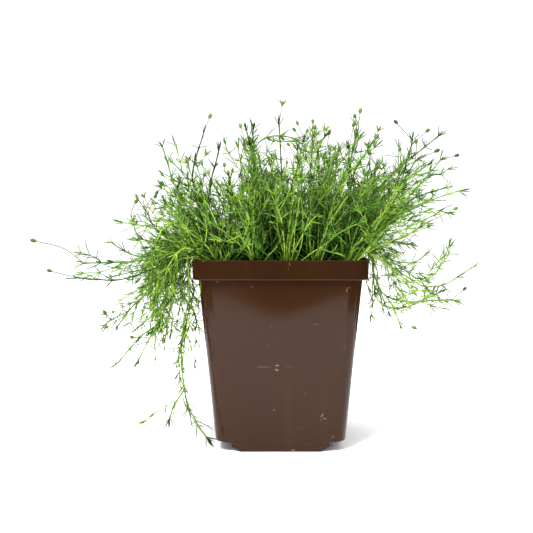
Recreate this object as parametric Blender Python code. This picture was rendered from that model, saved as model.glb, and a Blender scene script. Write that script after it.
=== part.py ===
"""Potted irish moss: a square nursery pot, the soil in it and the tufts of moss rooted in the soil.

Blender 4.5, metres, +Z up. The pot stands on z = 0 around the origin, and its front faces -Y.
Routes and growth sizes are in millimetres and are scaled by MM where a mesh is made.
"""
import math
import random

import bmesh
import bpy
import numpy as np
from mathutils import Matrix, Vector

MM = 0.001
SEED = 7
# How far a cutting solid reaches past what it cuts
PAST = 5
# The ends of a level edge differ in height by less than this
LEVEL = 0.1

# Pot
POT_HEIGHT = 121
RIM_HEIGHT = 12.4
RIM_HALF = 55
RIM_HALF_LOW = 54.5
WALL_HALF_TOP = 51.3
FOOT_HALF = 40.6
CORNER_RADIUS = 9
CORNER_STEPS = 4
RIM_ROUNDING = 0.8
RIM_STEPS = 2
WALL = 1.2
RIM_LOW = POT_HEIGHT - RIM_HEIGHT

# Foot: flat in the middle of each side, with the corners cut away and a slope up to them
FOOT_RISE = 6
FOOT_FLAT = 25
FOOT_SIDE_FLAT = 15
FOOT_WAIST = 31
FOOT_SLOPE = 1.17
FOOT_STRETCH = 1.93
FOOT_DIAMOND = FOOT_FLAT + FOOT_HALF / FOOT_STRETCH
SLOT_LENGTH = 9
SLOT_HEIGHT = 3
SLOT_DEPTH = 10
SLOT_PLACE = (30, 34.5, 3.2)

# Soil
CLEARANCE = 0.3
SOIL_CORNER_STEPS = 2
GROUND = 113
GROUND_BUMP = 0.8
GROUND_MOUND = 2.0
GROUND_CELLS = 6

# Crowns, each standing in a plain hole
TUFTS_EACH_WAY = 5
TUFT_PITCH = 20
TUFT_STAGGER = 4
TUFT_JITTER = 2
CROWN_DEPTH = 9
CROWN_RADIUS = 2.6
CROWN_SIDES = 5
CORE_RISE = 8
CORE_RADIUS = 3.6
CORE_LOW = 2
CORE_WIDER = 1.1
CORE_OVERLAP = 2
STEM_RISE = 5
STEMS_IN_CORE = 9
GOLDEN_TURN = 137.5

# Stems, each ending in a leaf that goes on from its last node
STEM_RADIUS = 0.85
STEM_TIP_RADIUS = 0.6
STALK_RADIUS = 0.45
NODE_SPACING = 17
LONG_SPACING = 14
TIP_LENGTH = 8
TIP_RADIUS = 0.15
STEM_GAP = 2.4
CORE_GAP = 0.5
FLOOR_GAP = 2
POINT_SPACING = 2
POINTS_IN_CORE = 4
CURVE_STEPS = 12
TRIES = 30
SHOOT_HEIGHTS = (1.0, 0.84, 0.68)
SIDE_SHOOT_HEIGHTS = (0.5,)
# How much wider low shoots spread than high ones, to the right and to the other sides
LOW_SPREAD_RIGHT = -0.25
LOW_SPREAD = 0.45
BOW = (0.32, 0.32, 0.62)
HEIGHT_CHANGE = (0.94, 1.03)
SHOOT_TURN = 2.4
TURN_CHANGE = 0.25
SWING = (7, 17)
SWAY = 5
REACH_LEFT = 1.6
REACH_RIGHT = 2.25
REACH_FRONT = 1.55
REACH_BACK = 2.0

# How high the cushion reaches from left to right, and how much lower it is towards the front and the back
OUTLINE_X = (-125, -108, -90, -74, -62, -46, -31, -21, 0, 23, 50, 81, 106, 114, 124)
OUTLINE_Z = (128, 136, 152, 184, 186, 178, 176, 199, 205, 200, 197, 190, 180, 165, 140)
OUTLINE_FALL = 24
OUTLINE_DEPTH = 90

# Leaves and seed capsules
LEAF_RADIUS = 0.5
LEAF_SHORT = 7
LEAF_LONG = 11
LEAF_ANGLE = (30, 48)
LEAF_TRIES = 3
LEAF_POT_GAP = 0.9
LEAF_FREE_FROM = 0.12
LEAF_CHECKS = 9
WHORL_SHARE = 0.34
FIRST_LEAFY_NODE = 2
ROOT_BELOW_NODE = 2
BARE_SHARE = 0.36
LEAF_GAP = 0.5
CAPSULE_LENGTH = 3.6
CAPSULE_RADIUS = 1.25

LOOKS = {
    "pot": ((0.075, 0.032, 0.018), 0.35),
    "soil": ((0.03, 0.02, 0.013), 0.95),
    "moss": ((0.16, 0.32, 0.05), 0.6),
}

# Stems that stand out of the cushion or hang over the rim: the column and row of the tuft that each grows
# from, the places that it passes, and where it has a seed capsule the places of its bare stalk
LONG_STEMS = (
    ((0, 1), ((-50, -22, 128), (-64, -24, 125), (-91, -29, 120), (-125, -33, 118)),
     ((-134, -33, 126), (-155, -35, 132))),
    ((0, 0), ((-51, -43, 128), (-65, -45, 121), (-84, -47, 113), (-100, -49, 109), (-125, -50, 110)),
     ((-135, -50, 115), (-141, -50, 114))),
    ((0, 2), ((-50, 0, 128), (-73, 0, 121), (-99, 0, 121), (-114, 0, 130)), ()),
    ((0, 2), ((-62, 9, 130), (-79, 10, 134), (-93, 13, 147)), ((-87, 14, 160),)),
    ((0, 1), ((-62, -8, 144), (-71, -8, 155)), ((-76, -8, 162), (-78, -8, 168))),
    ((0, 0), ((-55, -27, 149), (-66, -32, 168), (-75, -35, 192)), ()),
    ((0, 1), ((-53, -10, 155), (-58, -12, 172), (-51, -14, 201)), ((-47, -14, 212),)),
    ((0, 0), ((-46, -38, 158), (-39, -40, 188)), ()),
    ((1, 0), ((-17, -35, 149), (-19, -38, 180), (-10, -40, 197), (10, -40, 196), (16, -40, 189)), ()),
    ((2, 2), ((0, 0, 160), (-1, 0, 209)), ((1, 0, 222),)),
    ((3, 3), ((22, 30, 159), (23, 35, 204)), ((23, 35, 214),)),
    ((2, 3), ((13, 22, 150), (12, 22, 194)), ((18, 22, 206),)),
    ((1, 1), ((-15, -20, 160), (-22, -22, 203)), ()),
    ((3, 0), ((27, -32, 150), (24, -33, 189), (28, -33, 198)), ()),
    ((3, 1), ((41, -15, 150), (46, -18, 188), (50, -18, 200)), ((52, -18, 215),)),
    ((3, 3), ((45, 22, 150), (48, 22, 194)), ((51, 22, 210),)),
    ((4, 0), ((41, -42, 146), (48, -44, 181), (54, -45, 189)), ((59, -45, 196),)),
    ((4, 2), ((66, 0, 150), (84, 0, 182), (89, 0, 199)), ((87, 0, 204), (79, 0, 210))),
    ((4, 1), ((58, -20, 155), (82, -26, 181), (101, -30, 199)), ()),
    ((4, 3), ((78, 25, 166), (93, 28, 198)), ((103, 28, 207),)),
    ((4, 0), ((62, -37, 145), (84, -42, 182)), ((96, -44, 188),)),
    ((4, 2), ((73, 10, 146), (102, 12, 177), (110, 12, 186)), ((120, 12, 189),)),
    ((4, 1), ((65, -27, 140), (82, -30, 158), (105, -34, 166)), ()),
    ((4, 2), ((56, -4, 128), (78, -4, 132), (93, -4, 140)), ((104, -4, 146), (116, -4, 152))),
    ((4, 1), ((50, -28, 128), (59, -30, 124), (62, -36, 97), (76, -39, 90), (98, -40, 99)), ()),
    ((4, 2), ((50, -9, 128), (61, -9, 124), (66, -10, 103), (78, -12, 92), (113, -15, 93)),
     ((120, -15, 99),)),
    ((4, 3), ((50, 12, 128), (63, 11, 125), (87, 14, 106), (109, 15, 97), (133, 15, 112)), ()),
    ((4, 0), ((50, -43, 128), (66, -46, 117), (82, -48, 105), (93, -49, 109), (104, -50, 125)), ()),
    ((4, 3), ((52, 30, 128), (66, 30, 124), (90, 35, 114), (103, 36, 119)), ()),
    ((0, 0), ((-48, -42, 127), (-58, -44, 122), (-56, -45, 95), (-61, -46, 60), (-57, -46, 28),
              (-46, -47, 11)),
     ()),
    ((0, 1), ((-49, -31, 128), (-61, -32, 126), (-66, -36, 105), (-78, -38, 82), (-89, -40, 58)), ()),
    ((0, 1), ((-49, -14, 128), (-65, -14, 126), (-78, -16, 106), (-95, -20, 90), (-106, -22, 76)),
     ((-113, -22, 84),)),
    ((0, 2), ((-50, 8, 128), (-66, 7, 124), (-74, 6, 100), (-79, 6, 62)), ()),
    ((0, 3), ((-50, 22, 128), (-70, 22, 124), (-88, 26, 105), (-113, 30, 88)), ()),
    ((0, 3), ((-50, 16, 129), (-68, 14, 124), (-92, 8, 112), (-113, 4, 107)), ()),
    ((1, 4), ((-20, 50, 129), (-24, 66, 124), (-28, 80, 102), (-30, 92, 88)), ()),
    ((3, 4), ((22, 50, 129), (26, 68, 127), (34, 90, 118), (38, 106, 126)), ((40, 112, 138),)),
)
# Side branches: the long stem that each leaves, by its place in the list above, and the places it passes
BRANCHES = (
    (30, ((-80, -38, 78), (-90, -37, 70), (-102, -37, 56)), ()),
    (24, ((70, -38, 92), (75, -37, 81)), ((83, -37, 78),)),
    (29, ((-60, -46, 40), (-66, -45, 30), (-69, -45, 22)), ()),
    (2, ((-90, 0, 120), (-96, 1, 132), (-100, 2, 143)), ()),
)


def numbered(name, index):
    return f"{name}_{index:02d}"


def link(thing, collection):
    collection.objects.link(thing)
    return thing


def block(name, low, high, half_low, half_high, radius, collection, steps=CORNER_STEPS):
    """A square block that may widen upwards, with its upright edges rounded."""
    shape = bmesh.new()
    place = Matrix.Translation((0, 0, (low + high) / 2 * MM)) @ Matrix.Rotation(math.radians(45), 4, "Z")
    bmesh.ops.create_cone(
        shape, cap_ends=True, segments=4, depth=(high - low) * MM, matrix=place,
        radius1=half_low * math.sqrt(2) * MM, radius2=half_high * math.sqrt(2) * MM,
    )
    upright = [edge for edge in shape.edges if height_change(edge) > LEVEL * MM]
    bmesh.ops.bevel(shape, geom=upright, offset=radius * MM, segments=steps, profile=0.5, affect="EDGES")
    return from_bmesh(name, shape, collection)


def height_change(edge):
    return abs(edge.verts[0].co.z - edge.verts[1].co.z)


def from_bmesh(name, shape, collection):
    mesh = bpy.data.meshes.new(name)
    shape.to_mesh(mesh)
    shape.free()
    return link(bpy.data.objects.new(name, mesh), collection)


def combine(thing, operation, other):
    modifier = thing.modifiers.new(other.name, "BOOLEAN")
    modifier.operation = operation
    modifier.solver = "EXACT"
    modifier.object = other


def foot_corners(name, top, inset, cutters):
    """What the foot lacks, up to a height: all outside a stretched diamond, and a block at each corner."""
    low = -PAST
    outer = RIM_HALF + PAST
    frame = block(name, low, top, outer + PAST, outer + PAST, CORNER_RADIUS, cutters)
    shape = bmesh.new()
    reach = FOOT_DIAMOND - inset * FOOT_SLOPE * math.sqrt(2)
    bmesh.ops.create_cone(
        shape, cap_ends=True, segments=4, depth=(top - low + 2 * PAST) * MM,
        radius1=(reach + FOOT_SLOPE * (low - PAST)) * MM, radius2=(reach + FOOT_SLOPE * (top + PAST)) * MM,
        matrix=Matrix.Translation((0, 0, (low + top) / 2 * MM)) @ Matrix.Diagonal((1, FOOT_STRETCH, 1, 1)),
    )
    combine(frame, "DIFFERENCE", from_bmesh(name + "_diamond", shape, cutters))
    shape = bmesh.new()
    for side in (-1, 1):
        for front in (-1, 1):
            size = (outer - FOOT_WAIST + inset, outer - FOOT_SIDE_FLAT + inset, top - low)
            place = (side * (outer - size[0] / 2), front * (outer - size[1] / 2), (top + low) / 2)
            matrix = Matrix.Translation(Vector(place) * MM) @ Matrix.Diagonal((*(Vector(size) * MM), 1))
            bmesh.ops.create_cube(shape, size=1, matrix=matrix)
    combine(frame, "UNION", from_bmesh(name + "_blocks", shape, cutters))
    return frame


def wall_half(height):
    """Half the outer width of the wall at a height."""
    return FOOT_HALF + (WALL_HALF_TOP - FOOT_HALF) * height / RIM_LOW


def inside_of_pot(name, inset, top, steps, collection, cutters):
    """The pot's hollow, drawn in by an inset: what the walls, the rim and the raised corners leave."""
    side = WALL + inset
    radius = CORNER_RADIUS - side
    hollow = block(name, side, top, wall_half(side) - side, wall_half(top) - side, radius, collection, steps)
    combine(hollow, "DIFFERENCE", foot_corners(name + "_corners", FOOT_RISE + side, side, cutters))
    rim_half = RIM_HALF_LOW - side
    rim = block(name + "_rim", RIM_LOW + side, top, rim_half, rim_half, radius, cutters, steps)
    combine(hollow, "UNION", rim)
    return hollow


def make_pot(collection, cutters):
    pot = block("pot", 0, RIM_LOW + PAST, FOOT_HALF, wall_half(RIM_LOW + PAST), CORNER_RADIUS, collection)
    rim = block("pot_rim", RIM_LOW, POT_HEIGHT, RIM_HALF_LOW, RIM_HALF, CORNER_RADIUS, cutters)
    round_rim(rim)
    combine(pot, "UNION", rim)
    combine(pot, "DIFFERENCE", foot_corners("pot_corners", FOOT_RISE, 0, cutters))
    hollow = inside_of_pot("pot_hollow", 0, POT_HEIGHT + PAST, CORNER_STEPS, cutters, cutters)
    combine(pot, "DIFFERENCE", hollow)
    combine(pot, "DIFFERENCE", drain_slots(cutters))
    return pot


def round_rim(rim):
    shape = bmesh.new()
    shape.from_mesh(rim.data)
    ends = [edge for edge in shape.edges if height_change(edge) < LEVEL * MM]
    bmesh.ops.bevel(
        shape, geom=ends, offset=RIM_ROUNDING * MM, segments=RIM_STEPS, profile=0.5, affect="EDGES",
    )
    shape.to_mesh(rim.data)
    shape.free()


def drain_slots(cutters):
    """A slot through the sloping wall beside each cut-away corner."""
    shape = bmesh.new()
    x, y, z = SLOT_PLACE
    for side in (-1, 1):
        for front in (-1, 1):
            turn = math.atan2(front, side * FOOT_STRETCH)
            place = Matrix.Translation(Vector((side * x, front * y, z)) * MM)
            size = Matrix.Diagonal((SLOT_DEPTH * MM, SLOT_LENGTH * MM, SLOT_HEIGHT * MM, 1))
            bmesh.ops.create_cube(shape, size=1, matrix=place @ Matrix.Rotation(turn, 4, "Z") @ size)
    return from_bmesh("drain_slots", shape, cutters)


def make_soil(crowns, draw, collection, cutters):
    soil = inside_of_pot("soil", CLEARANCE, GROUND + PAST, SOIL_CORNER_STEPS, collection, cutters)
    shape = bmesh.new()
    bmesh.ops.create_grid(
        shape, x_segments=GROUND_CELLS, y_segments=GROUND_CELLS, size=(RIM_HALF + PAST) * MM,
        matrix=Matrix.Translation((0, 0, GROUND * MM)),
    )
    for vertex in shape.verts:
        away = math.hypot(vertex.co.x, vertex.co.y) / (RIM_HALF * MM)
        vertex.co.z += (GROUND_MOUND * max(0, 1 - away) + draw.uniform(-GROUND_BUMP, GROUND_BUMP)) * MM
    surface = list(shape.faces)
    walls = bmesh.ops.extrude_face_region(shape, geom=surface)["geom"]
    for vertex in walls:
        if isinstance(vertex, bmesh.types.BMVert):
            vertex.co.z = (POT_HEIGHT + PAST) * MM
    bmesh.ops.recalc_face_normals(shape, faces=shape.faces)
    bmesh.ops.triangulate(shape, faces=shape.faces)
    combine(soil, "DIFFERENCE", from_bmesh("above_ground", shape, cutters))
    holes = bmesh.new()
    low = GROUND - CROWN_DEPTH - CLEARANCE
    high = GROUND + PAST
    radius = CROWN_RADIUS + CLEARANCE / math.cos(math.pi / CROWN_SIDES)
    for x, y in crowns:
        bmesh.ops.create_cone(
            holes, cap_ends=True, segments=CROWN_SIDES, depth=(high - low) * MM,
            radius1=radius * MM, radius2=radius * MM,
            matrix=Matrix.Translation((x * MM, y * MM, (low + high) / 2 * MM)),
        )
    combine(soil, "DIFFERENCE", from_bmesh("crown_holes", holes, cutters))
    return soil


def crown_places(draw):
    """The middles of the crowns, by column and row, on a grid that is a little uneven."""
    middle = (TUFTS_EACH_WAY - 1) / 2
    places = {}
    for row in range(TUFTS_EACH_WAY):
        stagger = TUFT_STAGGER if row % 2 == 0 else -TUFT_STAGGER
        for column in range(TUFTS_EACH_WAY):
            x = (column - middle) * TUFT_PITCH + stagger + draw.uniform(-TUFT_JITTER, TUFT_JITTER)
            y = (row - middle) * TUFT_PITCH + draw.uniform(-TUFT_JITTER, TUFT_JITTER)
            places[column, row] = np.array((x, y))
    return places


def smooth_line(places):
    """Close points on a smooth curve through the given places."""
    places = [np.array(place, dtype=float) for place in places]
    knots = [2 * places[0] - places[1], *places, 2 * places[-1] - places[-2]]
    step = np.linspace(0, 1, CURVE_STEPS, endpoint=False)[:, None]
    pieces = []
    for a, b, c, d in zip(knots, knots[1:], knots[2:], knots[3:]):
        bend = 2 * a - 5 * b + 4 * c - d
        pieces.append(0.5 * (2 * b + (c - a) * step + bend * step**2 + (3 * b - a - 3 * c + d) * step**3))
    return np.vstack([*pieces, places[-1][None]])


def even_points(line, spacing, tip=0):
    """Points at an even spacing along a line, with its end at the tip's length from the last of them."""
    along = np.concatenate([[0], np.cumsum(np.linalg.norm(np.diff(line, axis=0), axis=1))])
    reach = along[-1] - tip
    marks = np.linspace(0, reach, max(1, round(reach / spacing)) + 1)
    if tip:
        marks = np.append(marks, along[-1])
    return np.column_stack([np.interp(marks, along, line[:, axis]) for axis in range(3)])


def distances(points, starts, ends):
    """How far each point is from each straight piece."""
    spans = ends - starts
    lengths = np.maximum((spans**2).sum(axis=1), 1e-9)
    offsets = points[:, None] - starts[None]
    share = np.clip((offsets * spans).sum(axis=2) / lengths, 0, 1)
    return np.linalg.norm(offsets - share[..., None] * spans, axis=2)


def clear_of_pot(points, margin):
    """Whether points lie outside the pot, or over the soil inside it."""
    reach = np.abs(points[:, :2]).max(axis=1)
    outer = np.where(points[:, 2] > RIM_LOW - margin, RIM_HALF, wall_half(points[:, 2]))
    above = points[:, 2] > POT_HEIGHT + margin
    outside = (reach > outer + margin) & (points[:, 2] > FLOOR_GAP + margin)
    over_soil = (reach < RIM_HALF_LOW - WALL - margin) & (points[:, 2] > GROUND + GROUND_MOUND + margin)
    return bool((above | outside | over_soil).all())


class Stem:
    """A stem: its route from node to node, and at each node its radius and its first corner's direction."""

    def __init__(self, tuft, route, radii, leafy, capsule, turn=0.0):
        self.tuft = tuft
        self.route = route
        self.radii = radii
        self.leafy = leafy
        self.capsule = capsule
        self.from_crown = radii[0] == STEM_RADIUS
        spans = np.diff(route, axis=0)
        spans /= np.linalg.norm(spans, axis=1)[:, None]
        self.along = np.vstack([spans, spans[-1:]])
        side, up = across(self.along[0])
        corner = side * math.cos(turn) + up * math.sin(turn)
        self.corners = []
        for along in self.along:
            corner = corner - along * corner.dot(along)
            corner /= np.linalg.norm(corner)
            self.corners.append(corner)

    def face_direction(self, index, face):
        """The direction that one of the stem's three sides looks in, between two nodes."""
        corner = self.corners[index]
        third = np.cross(self.along[index], corner)
        turn = math.radians(60 + 120 * face)
        return corner * math.cos(turn) + third * math.sin(turn)


def leafy_stem(tuft, line, spacing, radius, ends_in_leaf, turn=0.0):
    route = even_points(line, spacing, TIP_LENGTH if ends_in_leaf else 0)
    nodes = len(route) - 1 if ends_in_leaf else len(route)
    radii = np.linspace(radius, STEM_TIP_RADIUS, nodes)
    if ends_in_leaf:
        radii = np.append(radii, TIP_RADIUS)
    return Stem(tuft, route, radii, True, False, turn)


def long_stems(crowns):
    """The stems that stand out or hang, with their branches and stalks."""
    stems = []
    mains = []
    for tuft, places, stalk in LONG_STEMS:
        start = stem_start(tuft, crowns[tuft], stems)
        stems.append(leafy_stem(tuft, smooth_line([start, *places]), LONG_SPACING, STEM_RADIUS, not stalk))
        mains.append(stems[-1])
        if stalk:
            stems.append(stalk_from(tuft, stems[-1].route[-1], stalk))
    for parent, places, stalk in BRANCHES:
        tuft = mains[parent].tuft
        main = even_points(mains[parent].route, 1)
        fork = main[np.linalg.norm(main - np.array(places[0]), axis=1).argmin()]
        line = smooth_line([fork, *places[1:]])
        stems.append(leafy_stem(tuft, line, LONG_SPACING, STEM_TIP_RADIUS, not stalk))
        if stalk:
            stems.append(stalk_from(tuft, stems[-1].route[-1], stalk))
    return stems


def stem_start(tuft, crown, stems):
    """Where a tuft's next stem starts in its core, each beside the ones before it."""
    order = sum(stem.tuft == tuft and stem.from_crown for stem in stems)
    turn = math.radians(GOLDEN_TURN) * order
    away = (CORE_RADIUS - STEM_RADIUS) * math.sqrt((order + 0.5) / STEMS_IN_CORE)
    return np.array((crown[0] + away * math.cos(turn), crown[1] + away * math.sin(turn), GROUND + STEM_RISE))


def stalk_from(tuft, start, places):
    route = even_points(smooth_line([start, *places]), LONG_SPACING)
    return Stem(tuft, route, np.full(len(route), STALK_RADIUS), False, True)


def shoot_line(start, crown, share, turn, draw):
    """An arching shoot from a crown up to its share of the cushion's height."""
    x, y = crown
    low = 1 - share
    reach_x = REACH_RIGHT * (1 + LOW_SPREAD_RIGHT * low) if x > 0 else REACH_LEFT * (1 + LOW_SPREAD * low)
    reach_y = (REACH_BACK if y > 0 else REACH_FRONT) * (1 + LOW_SPREAD * low)
    swing = draw.uniform(*SWING)
    end_x = x * reach_x + swing * math.cos(turn)
    end_y = y * reach_y + swing * math.sin(turn)
    rise = (outline_height(end_x, end_y) - GROUND) * share * draw.uniform(*HEIGHT_CHANGE)
    end = np.array((end_x, end_y, GROUND + rise))
    sway = np.array((draw.uniform(-SWAY, SWAY), draw.uniform(-SWAY, SWAY), 0))
    bow = start + (end - start) * np.array(BOW) + sway
    step = np.linspace(0, 1, CURVE_STEPS)[:, None]
    return start * (1 - step) ** 2 + 2 * bow * step * (1 - step) + end * step**2


def outline_height(x, y):
    return np.interp(x, OUTLINE_X, OUTLINE_Z) - OUTLINE_FALL * (y / OUTLINE_DEPTH) ** 2


def grow_stems(crowns, draw):
    """All stems: the long ones as they are, then shoots that keep clear of other tufts' stems."""
    stems = long_stems(crowns)
    middle = (TUFTS_EACH_WAY - 1) / 2
    for tuft, crown in crowns.items():
        outer = max(abs(tuft[0] - middle), abs(tuft[1] - middle)) == middle
        first_turn = draw.uniform(0, 2 * math.pi)
        for index, share in enumerate(SHOOT_HEIGHTS + (SIDE_SHOOT_HEIGHTS if outer else ())):
            start = stem_start(tuft, crown, stems)
            for attempt in range(TRIES):
                turn = first_turn + SHOOT_TURN * index + draw.uniform(-1, 1) * attempt * TURN_CHANGE
                line = shoot_line(start, crown, share, turn, draw)
                if room_for(line, tuft, stems, crowns):
                    stems.append(leafy_stem(tuft, line, NODE_SPACING, STEM_RADIUS, True, turn))
                    break
    return stems


def room_for(line, tuft, stems, crowns):
    points = even_points(line, POINT_SPACING)
    if not clear_of_pot(points[POINTS_IN_CORE:], 2 * STEM_RADIUS):
        return False
    for other in stems:
        if other.tuft != tuft and distances(points, other.route[:-1], other.route[1:]).min() < STEM_GAP:
            return False
    cores = np.array([(*place, GROUND) for spot, place in crowns.items() if spot != tuft])
    tops = cores + np.array((0, 0, CORE_RISE))
    return distances(points, cores, tops).min() > CORE_RADIUS + STEM_RADIUS + CORE_GAP


class Solids:
    """Straight round pieces already placed, to keep new leaves clear of them."""

    def __init__(self):
        self.starts = np.zeros((0, 3))
        self.ends = np.zeros((0, 3))
        self.radii = np.zeros(0)
        self.owners = np.zeros(0, dtype=int)

    def add(self, start, end, radius, owner):
        self.starts = np.vstack([self.starts, start])
        self.ends = np.vstack([self.ends, end])
        self.radii = np.append(self.radii, radius)
        self.owners = np.append(self.owners, owner)

    def room_for_leaf(self, start, end, owner):
        points = start + (end - start) * np.linspace(LEAF_FREE_FROM, 1, LEAF_CHECKS)[:, None]
        if not clear_of_pot(points, LEAF_POT_GAP):
            return False
        others = self.owners != owner
        gaps = distances(points, self.starts[others], self.ends[others]) - self.radii[others]
        return gaps.min() > LEAF_RADIUS + LEAF_GAP


def across(direction):
    """Two directions square to the given one."""
    flat = np.array((0.0, 0.0, 1.0)) if abs(direction[2]) < 0.9 else np.array((1.0, 0.0, 0.0))
    side = np.cross(direction, flat)
    side /= np.linalg.norm(side)
    return side, np.cross(direction, side)


def grow_leaves(stems, crowns, draw):
    """Needle leaves at the stems' nodes, two or three at each and three at the last, clear of all else."""
    solids = Solids()
    for owner, stem in enumerate(stems):
        for start, end, radius in zip(stem.route[:-1], stem.route[1:], stem.radii):
            solids.add(start, end, radius, owner)
    for place in crowns.values():
        solids.add((*place, GROUND), (*place, GROUND + CORE_RISE), CORE_RADIUS, -1)
    leaves = []
    for owner, stem in enumerate(stems):
        if not stem.leafy:
            continue
        last = len(stem.route) - (2 if stem.radii[-1] == TIP_RADIUS else 1)
        for index in range(max(FIRST_LEAFY_NODE, round(BARE_SHARE * last)), last + 1):
            count = 3 if index == last or draw.random() < WHORL_SHARE else 2
            for face in draw.sample(range(3), count):
                leaf = find_leaf(stem, index, face, owner, solids, draw)
                if leaf:
                    solids.add(leaf.root, leaf.tip, LEAF_RADIUS, owner)
                    leaves.append(leaf)
    return leaves


class Leaf:
    def __init__(self, tuft, root, tip, inward):
        self.tuft = tuft
        self.root = root
        self.tip = tip
        self.inward = inward


def find_leaf(stem, index, face, owner, solids, draw):
    """A leaf that leaves the middle of one side of the stem just under a node, if it finds room."""
    along = stem.along[index - 1]
    outward = stem.face_direction(index - 1, face)
    root = stem.route[index] - along * ROOT_BELOW_NODE
    for attempt in range(LEAF_TRIES):
        angle = math.radians(draw.uniform(*LEAF_ANGLE))
        length = draw.uniform(LEAF_SHORT, LEAF_LONG)
        tip = root + length * (along * math.cos(angle) + outward * math.sin(angle))
        if solids.room_for_leaf(root, tip, owner):
            return Leaf(stem.tuft, root, tip, along * math.sin(angle) - outward * math.cos(angle))
    return None


def spike(name, start, end, radius, tip_radius, sides, collection, corner=None):
    """A straight tapering piece with flat sides, and with one corner in the given direction."""
    along = Vector(end - start).normalized()
    corner = Vector(across(np.array(along))[0] if corner is None else corner)
    turn = Matrix((corner.cross(along), corner, along)).transposed().to_4x4()
    shape = bmesh.new()
    bmesh.ops.create_cone(
        shape, cap_ends=True, segments=sides, radius1=radius * MM, radius2=tip_radius * MM,
        depth=np.linalg.norm(end - start) * MM, matrix=Matrix.Translation((start + end) / 2 * MM) @ turn,
    )
    return from_bmesh(name, shape, collection)


def stem_tube(name, stem, collection):
    """A three-sided tube: a triangle drawn out from node to node."""
    shape = bmesh.new()
    before = node_matrix(stem, 0)
    bmesh.ops.create_circle(shape, cap_ends=True, segments=3, radius=1, matrix=before)
    front = list(shape.faces)
    for index in range(1, len(stem.route)):
        drawn = bmesh.ops.extrude_face_region(shape, geom=front)["geom"]
        if index > 1:
            bmesh.ops.delete(shape, geom=front, context="FACES_ONLY")
        front = [item for item in drawn if isinstance(item, bmesh.types.BMFace)]
        after = node_matrix(stem, index)
        bmesh.ops.transform(shape, verts=front[0].verts, matrix=after @ before.inverted())
        before = after
    bmesh.ops.recalc_face_normals(shape, faces=shape.faces)
    return from_bmesh(name, shape, collection)


def node_matrix(stem, index):
    """Places a circle of radius 1 as the stem's section at a node."""
    along = stem.along[index]
    if 0 < index < len(stem.route) - 1:
        along = along + stem.along[index - 1]
        along = along / np.linalg.norm(along)
    corner = stem.corners[index]
    third = np.cross(corner, along)
    turn = Matrix((third, corner, along)).transposed().to_4x4()
    return Matrix.Translation(stem.route[index] * MM) @ turn @ Matrix.Scale(stem.radii[index] * MM, 4)


def capsule(name, stem, collection):
    along = Vector(stem.along[-1])
    turn = along.to_track_quat("Z", "Y").to_matrix().to_4x4()
    size = Matrix.Diagonal((CAPSULE_RADIUS * MM, CAPSULE_RADIUS * MM, CAPSULE_LENGTH / 2 * MM, 1))
    place = Matrix.Translation(stem.route[-1] * MM)
    shape = bmesh.new()
    bmesh.ops.create_uvsphere(shape, u_segments=5, v_segments=3, radius=1, matrix=place @ turn @ size)
    return from_bmesh(name, shape, collection)


def keep_outer_skin(mesh):
    """Drops what the union leaves apart from the main skin: hollows that it seals between stems."""
    shape = bmesh.new()
    shape.from_mesh(mesh)
    left = set(shape.verts)
    skins = []
    while left:
        skin = [left.pop()]
        for vertex in skin:
            beside = {edge.other_vert(vertex) for edge in vertex.link_edges} & left
            left -= beside
            skin.extend(beside)
        skins.append(skin)
    skins.sort(key=len)
    for skin in skins[:-1]:
        bmesh.ops.delete(shape, geom=skin, context="VERTS")
    shape.to_mesh(mesh)
    shape.free()


def make_tuft(index, tuft, place, stems, leaves, collection):
    """One tuft in one solid: a crown in its hole, a slim core over it, and its stems and leaves."""
    name = numbered("moss_tuft", index)
    pieces = bpy.data.collections.new(name + "_pieces")
    bpy.context.scene.collection.children.link(pieces)
    foot = np.array((*place, GROUND - CROWN_DEPTH))
    low = np.array((*place, GROUND + CORE_LOW))
    middle = low + (0, 0, CORE_OVERLAP)
    top = np.array((*place, GROUND + CORE_RISE))
    base = spike(name, foot, middle, CROWN_RADIUS, CROWN_RADIUS, CROWN_SIDES, collection)
    spike("core", low, top, CROWN_RADIUS * CORE_WIDER, CORE_RADIUS, CROWN_SIDES, pieces)
    for stem in stems:
        if stem.tuft == tuft:
            stem_tube("stem", stem, pieces)
            if stem.capsule:
                capsule("capsule", stem, pieces)
    for leaf in leaves:
        if leaf.tuft == tuft:
            spike("leaf", leaf.root, leaf.tip, LEAF_RADIUS, 0, 3, pieces, leaf.inward)
    union = base.modifiers.new("union", "BOOLEAN")
    union.operation = "UNION"
    union.solver = "MANIFOLD"
    union.operand_type = "COLLECTION"
    union.collection = pieces
    bpy.context.view_layer.update()
    mesh = bpy.data.meshes.new_from_object(base.evaluated_get(bpy.context.evaluated_depsgraph_get()))
    base.modifiers.clear()
    base.data = mesh
    keep_outer_skin(mesh)
    for piece in list(pieces.objects):
        bpy.data.objects.remove(piece)
    bpy.data.collections.remove(pieces)
    return base


def paint(thing, look):
    colour, roughness = LOOKS[look]
    material = bpy.data.materials.get(look) or bpy.data.materials.new(look)
    material.use_nodes = True
    shader = material.node_tree.nodes["Principled BSDF"]
    shader.inputs["Base Color"].default_value = (*colour, 1)
    shader.inputs["Roughness"].default_value = roughness
    thing.data.materials.clear()
    thing.data.materials.append(material)


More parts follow.
